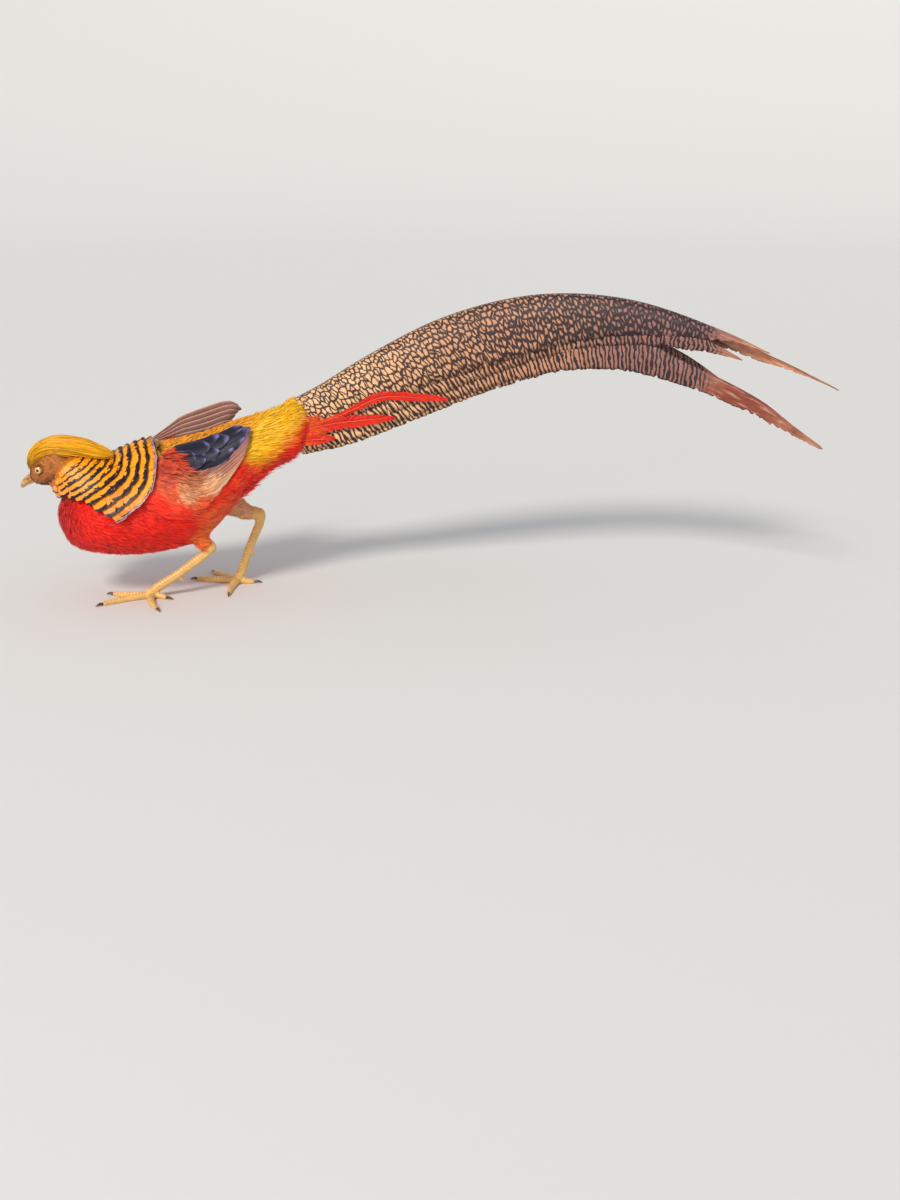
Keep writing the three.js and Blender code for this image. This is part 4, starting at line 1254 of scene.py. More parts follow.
def wingFeather(spec, side, colours, index):
    x0, z0, x1, z1, x2, z2, half, rootLift, tipLift = spec
    rows, columns = wing["rows"], wing["columns"]
    t = np.linspace(0, 1, rows + 1)[:, None]
    a = np.linspace(-1, 1, columns + 1)[None, :]
    tEnd = t * (1 - 0.07 * np.abs(a) ** 2.2)
    size = (rows + 1, columns + 1)
    ragged = (dice.normal(0, 0.02, size) - 0.05 * (dice.random(size) < 0.06)) * (np.abs(a) > 0.9)
    qx = (1 - tEnd) ** 2 * x0 + 2 * tEnd * (1 - tEnd) * x1 + tEnd**2 * x2
    qz = (1 - tEnd) ** 2 * z0 + 2 * tEnd * (1 - tEnd) * z1 + tEnd**2 * z2
    dx = 2 * (1 - tEnd) * (x1 - x0) + 2 * tEnd * (x2 - x1)
    dz = 2 * (1 - tEnd) * (z1 - z0) + 2 * tEnd * (z2 - z1)
    length = np.hypot(dx, dz)
    width = half * np.interp(t, [0, 0.2, 0.6, 0.88, 1], [0.35, 0.85, 1.0, 0.9, 0.42]) * (1 + ragged)
    x, z = qx - dz / length * a * width, qz + dx / length * a * width
    lift = rootLift + (tipLift - rootLift) * t + 0.8 * (1 - a**2) - 0.8
    lift = lift + 0.3 * (np.abs(a) < 0.01) * (1 - t)
    points = flankPoint(x, z, side, lift)
    quads = gridQuads(rows, columns)[:, otherWay]
    if side > 0:
        quads = quads[:, ::-1]
    u = np.broadcast_to(a * 0.5 + 0.5, t.shape[:1] + a.shape[1:])
    vane = np.stack([u, np.broadcast_to(t, u.shape)], -1).reshape(-1, 2)
    return points.reshape(-1, 3), quads, vane, colours(vane, index).reshape(-1, 3)


def feathersPiece(name, feathers, finish, slot, thickness, *nodes):
    # each feather has its own strip of the map
    across = math.ceil(math.sqrt(len(feathers)))
    parts = []
    for k, (points, quads, vane, colour) in enumerate(feathers):
        corner = np.array((k % across, k // across))
        bake = (corner + 0.02 + vane * 0.96) / across
        parts.append((points, [quads], {"vane": vane, "OFBake": bake}, colour))
    growPiece(name, parts, finish, slot, *nodes, thickness=thickness)


def blueTint(vane, index):
    # painted sheen: lavender highlights on the edges and tips of the dark blue feathers, broken into patches
    edge = ease(np.abs(vane[:, 0] - 0.5) * 2, 0.7, 1.0) * ease(vane[:, 1], 0.4, 0.8)
    tip = ease(vane[:, 1], 0.86, 0.97)
    wearAndSheenPatches = np.clip(0.5 + 0.8 * np.sin(vane[:, 0] * 9 + index * 2.1) * np.sin(vane[:, 1] * 11 + index), 0, 1)
    paintedSheen = np.clip(np.maximum(edge * 0.7, tip), 0, 1) * wearAndSheenPatches
    return blendTones(allOf(tones["blue"], len(vane)), tone(150, 136, 196), paintedSheen * 0.75)


def brownTint(vane, index):
    # cream for the lowest feather, chestnut for the middle ones, dull brown for the highest
    lows, mids, tops = tone(240, 200, 150), tone(206, 134, 104), tone(140, 104, 112)
    share = index / (len(wing["primaries"]) - 1)
    if share < 0.4:
        base = lows * (1 - share * 2.5) + mids * share * 2.5
    else:
        base = mids * (1 - (share - 0.4) / 0.6) + tops * (share - 0.4) / 0.6
    base = allOf(base, len(vane))
    aside = (vane[:, 0] - 0.5) * 2
    base = blendTones(base, tone(88, 50, 52), (1 - ease(np.abs(aside), 0.04, 0.3)) * 0.85)
    base = blendTones(base, base * 0.55, ease(aside, 0.3, 0.9) * 0.7)
    return blendTones(base, tone(244, 208, 164), ease(-aside, 0.7, 0.92) * (0.95 - 0.4 * share))


def makeVaneMaterial(name, rough, coatWeight, lineCount, contrast, bump):
    made, tree, shader = material(name, rough, sheen=0.03, coatWeight=coatWeight, specular=0.3)
    vane = add(tree, "UVMap", uv_map="vane").outputs[0]
    lines = useGroup(tree, barbing, Map=vane, Lines=lineCount, Slant=0.3)
    patch = useGroup(tree, mottle, Vector=objectPlace(tree), Size=260.0, Amount=0.6)
    ribs = spread(tree, lines.outputs["Height"], 0.0, 1.0, 1 - contrast, 1 + contrast * 0.5)
    shade = times(tree, patch.outputs[0], ribs)
    tree.links.new(shaded(tree, tinted(tree), shade), shader.inputs["Base Color"])
    bumpFrom(tree, shader, lines.outputs["Height"], bump, barbDepth)
    return made


blueMaterial = makeVaneMaterial("dark blue flight feathers", 0.42, 0.1, 60.0, 0.2, 0.16)
brownMaterial = makeVaneMaterial("brown flight feathers", 0.6, 0.0, 60.0, 0.14, 0.2)
for sideName, side in (("left", -1), ("right", 1)):
    for kind, colours, finish, slot in (("primaries", brownTint, brownMaterial, "brown_flight_feathers"),
                                        ("tertials", blueTint, blueMaterial, "blue_flight_feathers")):
        feathers = [wingFeather(spec, side, colours, k) for k, spec in enumerate(wing[kind])]
        feathersPiece(f"{kind}_{sideName}", feathers, finish, slot, wing["thickness"],
                      f"wing_{sideName}_{kind}")

# Shoulder: soft loose feathers from the cape's edge back over the roots of the wing

shoulder = {
    "outline": [(-44, 150), (-34, 158), (-14, 156), (-7, 148), (-4, 140), (8, 136), (22, 134), (25, 122),
                (12, 106), (0, 100), (-25, 98), (-46, 112)],
    "look": {"blades": 7, "rows": 4, "round": 0.2, "ragged": 0.35, "width": 3.0, "bladeShare": 1.5,
             "rootLift": 0.25, "arch": 0.1, "roll": 0.3, "flyaway": 0.2, "variety": 0.16},
    "length": 21.0,
    "places": 100000, "gap": 2.0,
    "ahead": 5, "below": 0.86,  # how far the roots stand ahead of the outline, and how high up the body
}


def shoulderLie(points, _):
    x = points[:, 0]
    droop = -0.34 - 0.16 * ease(x, -40, -18) + 1.15 * ease(x, -10, 18) + 0.1 * wander(points, 14, 9)
    return unit(np.stack([np.ones(len(x)), np.zeros(len(x)), droop], 1))


def shoulderGap(points):
    inside = insideOf(shoulder["outline"], points[:, 0] + shoulder["ahead"], points[:, 2])
    return np.where(inside & (upOnBody(points) < shoulder["below"]), shoulder["gap"], 0.0)


def shoulderTint(points):
    # brick red by the cape, orange below it, tan and then cream towards the hand of the wing
    x, z = points[:, 0], points[:, 2]
    ripple = wander(points, 8, 4)
    colour = allOf(tones["shoulderRed"], len(points))
    colour = blendTones(colour, tones["shoulderOrange"], ease(146 - z + 8 * ripple, 6, 22))
    tan = 0.8 * ease(x + 9 * ripple, -26, -14) * ease(z, 112, 122) * ease(142 - z, 0, 8)
    colour = blendTones(colour, tones["shoulderTan"], tan)
    cream = ease(x + 8 * ripple, -10, 4) * ease(138 - z, 0, 8)
    colour = blendTones(colour, tones["shoulderCream"], 0.9 * cream)
    # painted shadow: dull mauve where the shoulder feathers lie under the blue tertials
    colour = blendTones(colour, tone(112, 70, 88), 0.8 * ease(x, -4, 6) * ease(z + 3 * ripple, 129, 136))
    redder = ease(-z - 0.62 * (x + 20) + 5 * ripple, -114, -103)
    return blendTones(colour, tones["scarlet"], 0.9 * redder)


places = scatter(outerForm, shoulder["places"], shoulderGap, 17)
handward = ease(places[:, 0], -14, 4)
reachBack = shoulder["length"] * dice.uniform(0.65, 1.25, len(places)) * (1 + 0.25 * handward)
path, ups = walk(outerForm, places, shoulderLie, reachBack, 4)
look = dict(shoulder["look"])
look["lift"] = (2.0 + 2.6 * ease(places[:, 0], -36, -14) - 1.4 * handward + dice.normal(0, 0.25, len(places))
                + 4.6 * ease(places[:, 2], 132, 142) * ease(places[:, 0], -32, -20))
look["width"] = shoulder["look"]["width"] * (1 - 0.35 * handward)
tints = shoulderTint(places)
bakeAt = bakePlace(skinSurface, places)
for sideName, part in (("left", places[:, 1] < 0), ("right", places[:, 1] >= 0)):
    partLook = dict(look, lift=look["lift"][part], width=look["width"][part])
    tufts = bladeTufts(path[part], ups[part], partLook, tints[part], bakeAt[part])
    growPiece(f"shoulder_{sideName}", [tufts], plumage["shoulder"], "shoulder_plumage",
              f"wing_{sideName}_shoulder")

# Far wing: its longest feathers stand a little above the back

openWing = {
    # x, y, low, high of the fan, as the frame has it, drawn together at the root
    "blade": [(-30, 34, 150, 158), (-12, 40, 148, 168), (0, 43, 148, 175), (25, 45, 151, 184),
              (48, 46, 160, 189.5), (60, 46, 170, 188), (68, 46, 174, 184)],
    "feathers": 6, "rows": 30, "columns": 6,
    "rootX": -30, "tipX": 66,
    "halfWidth": 5.6,
    "step": 0.8,  # mm that each feather lies further out than the one before
}


def openFeather(k):
    rows, columns = openWing["rows"], openWing["columns"]
    t = np.linspace(0, 1, rows + 1)[:, None]
    a = np.linspace(-1, 1, columns + 1)[None, :]
    reach = openWing["tipX"] - 3.4 * (openWing["feathers"] - 1.6 - k if k < openWing["feathers"] - 1 else 1.2)
    x = openWing["rootX"] + (reach - openWing["rootX"]) * t * (1 - 0.04 * a**2)
    low, high, y = (smoothAt([(b[0], b[j]) for b in openWing["blade"]], x) for j in (2, 3, 1))
    share = (k + 0.5) / openWing["feathers"]
    half = openWing["halfWidth"] * np.interp(t, [0, 0.3, 0.85, 0.95, 1], [0.4, 1, 1, 0.85, 0.45])
    z = low + (high - low) * share * 0.97 + a * np.minimum(half, (high - low) * 0.2)
    points = np.stack([x, y + openWing["step"] * k - 2.4 + 0.7 * (1 - a**2), z], -1)
    u = np.broadcast_to(a * 0.5 + 0.5, (rows + 1, columns + 1))
    vane = np.stack([u, np.broadcast_to(t, u.shape)], -1).reshape(-1, 2)
    aside = (vane[:, 0] - 0.5) * 2
    dark = (1 - ease(np.abs(aside + 0.2), 0.04, 0.5)) * 0.9
    tint = blendTones(allOf(tone(158, 112, 100), len(vane)), tone(62, 36, 38), dark)
    tint = blendTones(tint, tone(214, 172, 156), 0.75 * ease(aside, 0.55, 0.9))
    return points.reshape(-1, 3), gridQuads(rows, columns), vane, tint


feathersPiece("open_wing", [openFeather(k) for k in range(openWing["feathers"])], brownMaterial,
              "brown_flight_feathers", wing["openThickness"], "wing_right_raised")

# Tail feathers

tail["feathers"] = [
    # node, side, how far along the tail, layer, edges: share of its length, upper and lower across
    ("tail_centre_left", -1, 0.845, 0,
     [(0, 0.02, 0.74), (0.3, 0.02, 0.84), (0.5, 0.02, 0.86), (0.7, 0.02, 0.72), (0.85, 0.0, 0.5),
      (0.95, 0.0, 0.22), (1, 0.0, 0.03)]),
    ("tail_centre_right", 1, 0.975, 0,
     [(0, 0.02, 0.74), (0.3, 0.02, 0.84), (0.5, 0.02, 0.84), (0.7, 0.02, 0.66), (0.8, 0.1, 0.5),
      (0.86, 0.18, 0.44), (0.91, 0.14, 0.32), (1, 0.08, 0.11)]),
    ("tail_side_left_1", -1, 0.81, 1,
     [(0, 0.3, 0.86), (0.4, 0.4, 0.93), (0.65, 0.34, 0.86), (0.85, 0.38, 0.7), (1, 0.49, 0.52)]),
    ("tail_side_right_1", 1, 0.78, 1,
     [(0, 0.3, 0.86), (0.4, 0.4, 0.93), (0.65, 0.34, 0.84), (0.85, 0.36, 0.66), (1, 0.46, 0.5)]),
    ("tail_side_left_2", -1, 1.0, 2,
     [(0, 0.6, 0.97), (0.3, 0.64, 1), (0.62, 0.68, 1), (0.735, 0.8, 1), (0.87, 0.85, 1), (0.94, 0.92, 1),
      (1, 0.97, 1)]),
    ("tail_side_right_2", 1, 0.8, 2,
     [(0, 0.6, 0.97), (0.3, 0.64, 1), (0.62, 0.68, 1), (0.86, 0.74, 0.98), (1, 0.88, 0.92)]),
    ("tail_side_left_3", -1, 0.5, 3, [(0, 0.74, 1), (0.4, 0.8, 1.02), (0.8, 0.84, 1.02), (1, 0.96, 1)]),
    ("tail_side_right_3", 1, 0.5, 3, [(0, 0.74, 1), (0.4, 0.8, 1.02), (0.8, 0.84, 1.02), (1, 0.96, 1)]),
]


def tailTint(place):
    near, middle, far, end = tone(232, 182, 134), tone(200, 142, 106), tone(146, 98, 90), tone(196, 130, 94)
    colour = blendTones(np.repeat(near[None], len(place), 0), middle, ease(place, 0.1, 0.4))
    colour = blendTones(colour, far, ease(place, 0.4, 0.68))
    return blendTones(colour, end, ease(place, 0.74, 0.84))


def tailFeather(node, side, end, layer, edges, finish, slot, inkEnd, reddishAndShaded=0.0):
    rows = int(tailLength * end / tail["rowGap"])
    columns = tail["columns"]
    share = np.linspace(0, 1, rows + 1)[:, None]
    c = np.linspace(0, 1, columns + 1)[None, :]
    upper, lower = smoothAt(edges, share, 1), smoothAt(edges, share, 2)
    level = np.ones(rows + 1)
    edgeLine = np.column_stack([share[:, 0] * 900, layer * 50.0 * level, side * 9.0 * level])
    wearAndSheenPatches = wander(edgeLine, 4, 21)
    fray = (0.006 + 0.03 * ease(share[:, 0], 0.75, 1)) * wearAndSheenPatches
    fray = fray + (0.006 + 0.018 * ease(share[:, 0], 0.78, 1)) * dice.normal(0, 1, rows + 1)
    split = 0.05 * (dice.random(rows + 1) < 0.035 + 0.1 * ease(share[:, 0], 0.7, 0.9))
    lower = lower + (fray - split)[:, None] * (lower - upper) * 1.8
    across = upper + (lower - upper) * c
    bulge = tail["vault"] * 4 * c * (1 - c) * ease(lower - upper, 0.0, 0.3)
    ridge = 0.5 * np.exp(-(((c - tail["shaft"]) * 34) ** 2))
    lift = -layer * tail["layer"] * 0.75 + bulge + ridge + 1.2
    place = share * end + 0.0 * c
    skew = 0.012 * np.abs(c - tail["shaft"]) * ease(share, 0.75, 1.0)
    points = onTail(np.clip(place - skew, 0, 1), across, side, lift)
    quads = gridQuads(rows, columns)[:, otherWay]
    if side > 0:
        quads = quads[:, ::-1]
    width = np.linalg.norm(np.diff(points, axis=1), axis=2)
    squeeze = 1 - 0.5 * (across[:, 1:] + across[:, :-1]) / 2  # the cells draw out lower down
    arc = np.concatenate([np.zeros((rows + 1, 1)), np.cumsum(width * squeeze, 1)], 1)
    start = (upper * 60) * (1 - 0.25 * upper)
    lane = layer * 3.1 + side * 7.7  # keeps the pattern of one feather from lining up with the next
    vane = np.stack([place * tailLength / 100, (arc + start) / 100 + lane], -1).reshape(-1, 2)
    bake = np.stack([share + 0 * c, c + 0 * share], -1).reshape(-1, 2) * 0.98 + 0.01
    tints = tailTint(place.ravel())
    if reddishAndShaded:
        # the lowest left feather's end: a reddish brown of its own, painted darker for the shade it lies in
        tints = blendTones(tints, tone(138, 64, 46), reddishAndShaded * ease(place.ravel(), 0.74, 0.82))
        tints = blendTones(tints, tone(176, 112, 88), reddishAndShaded * ease(place.ravel(), 0.86, 0.97))
    # painted shade: each tail feather darker along both edges, where it lies against the next
    edge = np.minimum(c, 1 - c) + 0 * place
    tints = tints * (0.45 + 0.55 * ease(edge, 0.0, 0.07))[:, :, None].reshape(-1, 1)
    piece = meshPiece(node.replace("tail_", "tailfeather_"), points.reshape(-1, 3), [quads],
                      {"vane": vane, "OFBake": bake}, tints)
    weighPoints(piece, (1 - ease(place, inkEnd - 0.06, inkEnd + 0.04)) + 0 * c, "ink")
    weighPoints(piece, place, "reach")
    thicken(piece, tail["thickness"], -1.0)
    finishPiece(piece, finish, slot, node)
    print(piece.name, triangleCount(piece), "triangles")


def makeTailMaterial(name, barred):
    made, tree, shader = material(name, 0.5, sheen=0.05)
    vane = add(tree, "UVMap", uv_map="vane").outputs[0]
    place = add(tree, "VectorMath", {0: vane, "Scale": 100.0}, operation="SCALE").outputs[0]
    ink = add(tree, "Attribute", attribute_name="ink").outputs["Fac"]
    reach = add(tree, "Attribute", attribute_name="reach").outputs["Fac"]
    if barred:
        pattern = useGroup(tree, bars, Map=place, Spacing=4.9, Slant=-0.45, Warp=4.2, Dark=0.5)
    else:
        line = spread(tree, reach, 0.12, 0.6, 0.18, 0.27)
        pattern = useGroup(tree, network, Map=place, Cell=4.1, Line=line, Stretch=0.72, Warp=4.0)
    patchy = add(tree, "TexNoise", {"Vector": place, "Scale": 0.35, "Detail": 2.0})
    uneven = times(tree, less(tree, patchy.outputs[0], 0.5), 1.1)
    held = spread(tree, maths(tree, "ADD", ink, uneven), 0.3, 0.7)
    dark = times(tree, less(tree, 1.0, pattern.outputs["Mask"]), held)
    patch = useGroup(tree, mottle, Vector=objectPlace(tree), Size=160.0, Amount=0.7)
    fine = useGroup(tree, mottle, Vector=objectPlace(tree), Size=1500.0, Amount=0.5)
    shade = times(tree, patch.outputs[0], fine.outputs[0])
    ground = shaded(tree, tinted(tree), shade)
    parts = add(tree, "SeparateXYZ", {0: place})
    stretched = [times(tree, parts.outputs[k], share) for k, share in enumerate((0.05, 0.7))]
    drawn = add(tree, "CombineXYZ", dict(enumerate(stretched)))
    streaks = add(tree, "TexNoise", {"Vector": drawn.outputs[0], "Scale": 1.0, "Detail": 3.0})
    plain = less(tree, 1.0, ink)
    for low, high, strength, colour in ((0.5, 0.74, 0.55, tone(232, 184, 156)),
                                        (0.47, 0.34, 0.7, tone(120, 58, 36))):
        share = times(tree, spread(tree, streaks.outputs[0], low, high), times(tree, plain, strength))
        ground = mixed(tree, share, ground, tuple(colour))
    inkTone = mixed(tree, spread(tree, reach, 0.1, 0.6), tuple(tone(66, 34, 24)), tuple(tone(44, 26, 30)))
    tree.links.new(mixed(tree, dark, ground, inkTone), shader.inputs["Base Color"])
    slanted = maths(tree, "MULTIPLY_ADD", parts.outputs[1], -0.8, parts.outputs[0])
    barb = maths(tree, "SINE", times(tree, slanted, 6.4))
    bumpFrom(tree, shader, barb, 0.25, barbDepth)
    return made


networkMaterial = makeTailMaterial("netted tail feathers", False)
barredMaterial = makeTailMaterial("barred tail feathers", True)
for node, side, end, layer, edges in tail["feathers"]:
    centre = "centre" in node
    tailFeather(node, side, end, layer, edges, networkMaterial if centre else barredMaterial, "tail_feathers",
                0.76 if centre else 0.78, reddishAndShaded=1.0 if node == "tail_side_left_2" else 0.0)

# Tail coverts: narrow pointed scarlet feathers beside the root of the tail, barb by barb

coverts = {
    # share of the tail's length, and the edges over the feather's own length
    "edges": {1: (0.27, [(0, 0.68, 0.71), (0.24, 0.7, 0.74), (0.39, 0.69, 0.755), (0.5, 0.68, 0.77),
                         (0.61, 0.69, 0.79), (0.81, 0.83, 0.91), (1, 0.97, 0.985)]),
              2: (0.17, [(0, 0.64, 0.82), (0.4, 0.7, 0.86), (0.75, 0.83, 0.93), (1, 0.945, 0.96)]),
              3: (0.06, [(0, 0.78, 0.9), (0.5, 0.82, 0.94), (1, 0.91, 0.93)])},
    "lift": 3.2,
    "barbs": 230,
    "barbReach": 11.0,  # how far along the feather a barb runs
    "strands": 120, "rootTufts": 420,
    "look": {"blades": 3, "rows": 3, "round": 0.1, "ragged": 0.3, "width": 0.7, "bladeShare": 1.9,
             "rootLift": 0.0, "arch": 0.0, "roll": 0.35, "flyaway": 0.25, "variety": 0.12},
    "shaft": {"blades": 1, "rows": 12, "round": 0.0, "ragged": 0.0, "width": 0.5, "bladeShare": 1.0,
              "rootLift": 1.0, "arch": 0.0, "roll": 0.0, "flyaway": 0.0, "variety": 0.0},
}


def tailOutward(place, across, side):
    return unit(onTail(place, across, side, 2.0) - onTail(place, across, side, 0.0))


def covertParts(side, end, edges):
    length = tailLength * end
    count = coverts["barbs"]
    start = np.linspace(0.0, 0.97, count) + dice.uniform(-0.002, 0.002, count)
    start = np.concatenate([start, start])
    way = np.concatenate([-np.ones(count), np.ones(count)])
    t = np.linspace(0, 1, 5)[None, :]
    share = start[:, None] + t * coverts["barbReach"] / length * dice.uniform(0.8, 1.2, (count * 2, 1))
    share = np.clip(share, 0, 1)
    upper, lower = smoothAt(edges, share, 1), smoothAt(edges, share, 2)
    middle, half = (upper + lower) / 2, (lower - upper) / 2
    across = middle + way[:, None] * half * t**0.75 * dice.uniform(0.6, 1.18, (count * 2, 1))
    lift = coverts["lift"] + 0.7 * (1 - t**2) + dice.uniform(-0.25, 0.35, (count * 2, 1))
    path = onTail(share * end, across, side, lift)
    ups = tailOutward(share * end, across, side)
    warm = 0.8 * (1 - ease(share[:, 0], 0.0, 0.35)) + 0.12 * dice.random(count * 2)
    tints = blendTones(allOf(tone(232, 16, 8), count * 2), tone(252, 110, 20), warm)
    bake = bakePlace(skinSurface, path[:, 0])
    barbs = bladeTufts(path, ups, dict(coverts["look"], lift=0.1), tints, bake)
    line = np.linspace(0, 0.99, 14)[None, :]
    centre = (smoothAt(edges, line, 1) + smoothAt(edges, line, 2)) / 2
    shaftPath = onTail(line * end, centre, side, coverts["lift"] + 1.3)
    shaft = bladeTufts(shaftPath, tailOutward(line * end, centre, side), dict(coverts["shaft"], lift=0.1),
                       tone(255, 96, 40)[None], bake[:1])
    return [barbs, shaft]


def looseStrands(side):
    # fine red strands lying about the roots of the coverts
    count = coverts["strands"]
    begin, reach = dice.uniform(0.0, 0.01, count), dice.uniform(0.02, 0.06, count)
    t = np.linspace(0, 1, 7)[None, :]
    share = begin[:, None] + reach[:, None] * t
    across = dice.uniform(0.64, 0.9, count)[:, None] + 0.04 * t * dice.normal(0, 1, (count, 1))
    lift = coverts["lift"] - 0.6 + dice.uniform(-0.5, 1.2, (count, 1))
    path = onTail(share, np.clip(across, 0, 1.0), side, lift)
    tints = blendTones(allOf(tone(240, 24, 8), count), tone(252, 130, 20), dice.random(count) ** 2)
    look = dict(coverts["look"], blades=5, rows=5, width=1.8, ragged=0.5, lift=0.2, flyaway=0.5)
    return bladeTufts(path, tailOutward(share, across, side), look, tints, bakePlace(skinSurface, path[:, 0]))


def rootTufts(side):
    # the last feathers of the rump, over the root of the tail: gold above, red below
    count = coverts["rootTufts"]
    begin = dice.uniform(0.0, 0.006, count)
    t = np.linspace(0, 1, 6)[None, :]
    share = begin[:, None] + dice.uniform(0.012, 0.022, (count, 1)) * t
    across = 0.86 * dice.uniform(0.0, 1.0, count) ** 0.8
    path = onTail(share, across[:, None] + 0 * t, side, 2.2 + 0 * t)
    tints = blendTones(allOf(tones["gold"], count), tones["orange"], ease(across, 0.34, 0.5))
    tints = blendTones(tints, tones["scarlet"], ease(across, 0.48, 0.62))
    look = dict(coat["rump"], lift=1.6, flyaway=0.5, width=3.0)
    ups = tailOutward(share, across[:, None], side)
    return bladeTufts(path, ups, look, tints, bakePlace(skinSurface, path[:, 0]))


for sideName, side in (("left", -1), ("right", 1)):
    for number, (end, edges) in coverts["edges"].items():
        growPiece(f"covert_{sideName}_{number}", covertParts(side, end, edges), plumage["covert"],
                  "scarlet_plumage", f"tail_covert_{sideName}_{number}")
    growPiece(f"coat_strands_{sideName}", [looseStrands(side)], plumage["covert"], "scarlet_plumage")
    growPiece(f"coat_tailroot_{sideName}", [rootTufts(side)], plumage["rump"], "golden_plumage")

# Legs and claws

legs = {
    "left": {
        "shank": [(19.5, -20, 50, 5.5), (14, -20, 43.5, 4.3), (-12, -19, 25, 3.9), (-38, -18, 9, 4.4)],
        "hock": [(20.5, -20, 51.5, 6.4), (17.5, -20.3, 54.5, 6.6)],
        "front": (-0.58, 0, 0.81), "hub": (-42, -18, 6),
        "toes": {"middle": (-50, -17, -4), "outer": (3, -44, -6), "inner": (-38, 16, 5), "hind": (15, -8, 2)},
    },
    "right": {
        "shank": [(78, 19, 72.5, 5.5), (76.5, 19, 63, 4.3), (65, 18.5, 38, 3.9), (55, 18, 10, 4.4)],
        "hock": [(76.5, 19, 74, 6.4), (72, 19.5, 75.5, 6.6)],
        "front": (-0.94, 0, 0.34), "hub": (52, 18, 6),
        "toes": {"middle": (-42, 17, 4), "outer": (-22, 37, 5), "inner": (-14, -42, -4), "hind": (16, -6, -2)},
    },
    "toeRoot": 3.9, "toeTip": 2.3, "toeSink": 0.7,
    "plateLength": 3.4, "plateRise": 0.35, "plateCells": 8,
}


def onToe(hub, toe, share):
    x, y, bow = toe
    reach = math.hypot(x, y)
    radius = legs["toeRoot"] + (legs["toeTip"] - legs["toeRoot"]) * share
    bend = bow * 2 * share * (1 - share)
    ahead, aside = hub[0] + x * share - y / reach * bend, hub[1] + y * share + x / reach * bend
    return np.stack([ahead, aside, radius - legs["toeSink"], radius], -1)


def scutes(line, front, middles, arc):
    # overlapping plates down a leg or toe, line is x, y, z, radius from the top down
    line = np.asarray(line, float)
    length = np.concatenate([[0], np.cumsum(np.linalg.norm(np.diff(line[:, :3], axis=0), axis=1))])
    plates = []
    for row, middle in enumerate(middles):
        count = int(length[-1] / legs["plateLength"])
        for k in range(count):
            begin = (k + 0.5 * (row % 2)) * legs["plateLength"]
            stops = np.linspace(begin, begin + legs["plateLength"] * 1.12, 4)
            cells = np.linspace(-1, 1, legs["plateCells"] + 1)
            centre = np.stack([np.interp(stops, length, line[:, c]) for c in range(4)], 1)
            ahead = unit(centre[-1, :3] - centre[0, :3])
            if not np.isfinite(ahead).all() or np.linalg.norm(centre[-1, :3] - centre[0, :3]) < 0.5:
                continue
            up = unit(front - ahead * (front @ ahead))
            side = np.cross(ahead, up)
            angle = math.radians(middle) + cells[None, :] * math.radians(arc)
            rise = np.array([0.05, 0.3, 1.0, 0.25])[:, None] * legs["plateRise"]
            rounding = 1 - 0.16 * (cells**2)[None, :] * np.array([0, 0.3, 0.8, 1.0])[:, None]
            radius = centre[:, 3:] + 0.32 + rise * (1 - 0.9 * cells**4)[None, :] - 0.25 * (cells**6)[None, :]
            offset = (np.cos(angle)[..., None] * up + np.sin(angle)[..., None] * side) * radius[..., None]
            middlePoints = centre[0, :3] + (centre[:, None, :3] - centre[0, :3]) * rounding[..., None]
            plates.append(middlePoints + offset)
    return plates


def platesPiece(name, plates):
    grid = np.stack(plates)
    count, rows, columns = grid.shape[:3]
    quad = gridQuads(rows - 1, columns - 1)[:, otherWay]
    quads = (np.arange(count)[:, None, None] * rows * columns + quad).reshape(-1, 4)
    shade = np.array([0.78, 1.0, 1.06, 0.62])[None, :, None, None] * np.ones((count, rows, columns, 1))
    shade = shade * dice.uniform(0.9, 1.08, (count, 1, 1, 1))
    tints = (tones["legYellow"] * shade).reshape(-1, 3)
    u, v = np.meshgrid(np.linspace(0, 1, columns), np.linspace(0, 1, rows))
    across = math.ceil(math.sqrt(count))
    corner = np.stack([np.arange(count) % across, np.arange(count) // across], 1)[:, None, :]
    bake = (corner + 0.05 + np.stack([u, v], -1).reshape(1, -1, 2) * 0.9) / across
    return meshPiece(name, grid.reshape(-1, 3), [quads], {"OFBake": bake.reshape(-1, 2)}, tints)


def makeScaleMaterial():
    made, tree, shader = material("leg scales", 0.42, specular=0.5)
    place = objectPlace(tree)
    cells = add(tree, "TexVoronoi", {"Vector": place, "Scale": 900.0}, feature="DISTANCE_TO_EDGE")
    edge = spread(tree, cells.outputs[0], 0.0, 0.16)
    patch = useGroup(tree, mottle, Vector=place, Size=120.0, Amount=0.5)
    shade = times(tree, patch.outputs[0], spread(tree, edge, 0.0, 1.0, 0.8, 1.0))
    tree.links.new(shaded(tree, tinted(tree), shade), shader.inputs["Base Color"])
    bumpFrom(tree, shader, edge, 0.35, barbDepth)
    return made


def makePlateMaterial():
    made, tree, shader = material("leg plates", 0.36, specular=0.5)
    patch = useGroup(tree, mottle, Vector=objectPlace(tree), Size=300.0, Amount=0.35)
    tree.links.new(shaded(tree, tinted(tree), patch.outputs[0]), shader.inputs["Base Color"])
    return made


def makeHornMaterial(name, pale, dark):
    made, tree, shader = material(name, 0.34, specular=0.5, coatWeight=0.15)
    noise = add(tree, "TexNoise", {"Vector": objectPlace(tree), "Scale": 260.0, "Detail": 4.0})
    streak = mixed(tree, spread(tree, noise.outputs[0], 0.35, 0.7), tuple(dark), tuple(pale))
    tree.links.new(mixed(tree, 1.0, streak, tinted(tree), "MULTIPLY"), shader.inputs["Base Color"])
    bumpFrom(tree, shader, noise.outputs[0], 0.15, barbDepth)
    return made


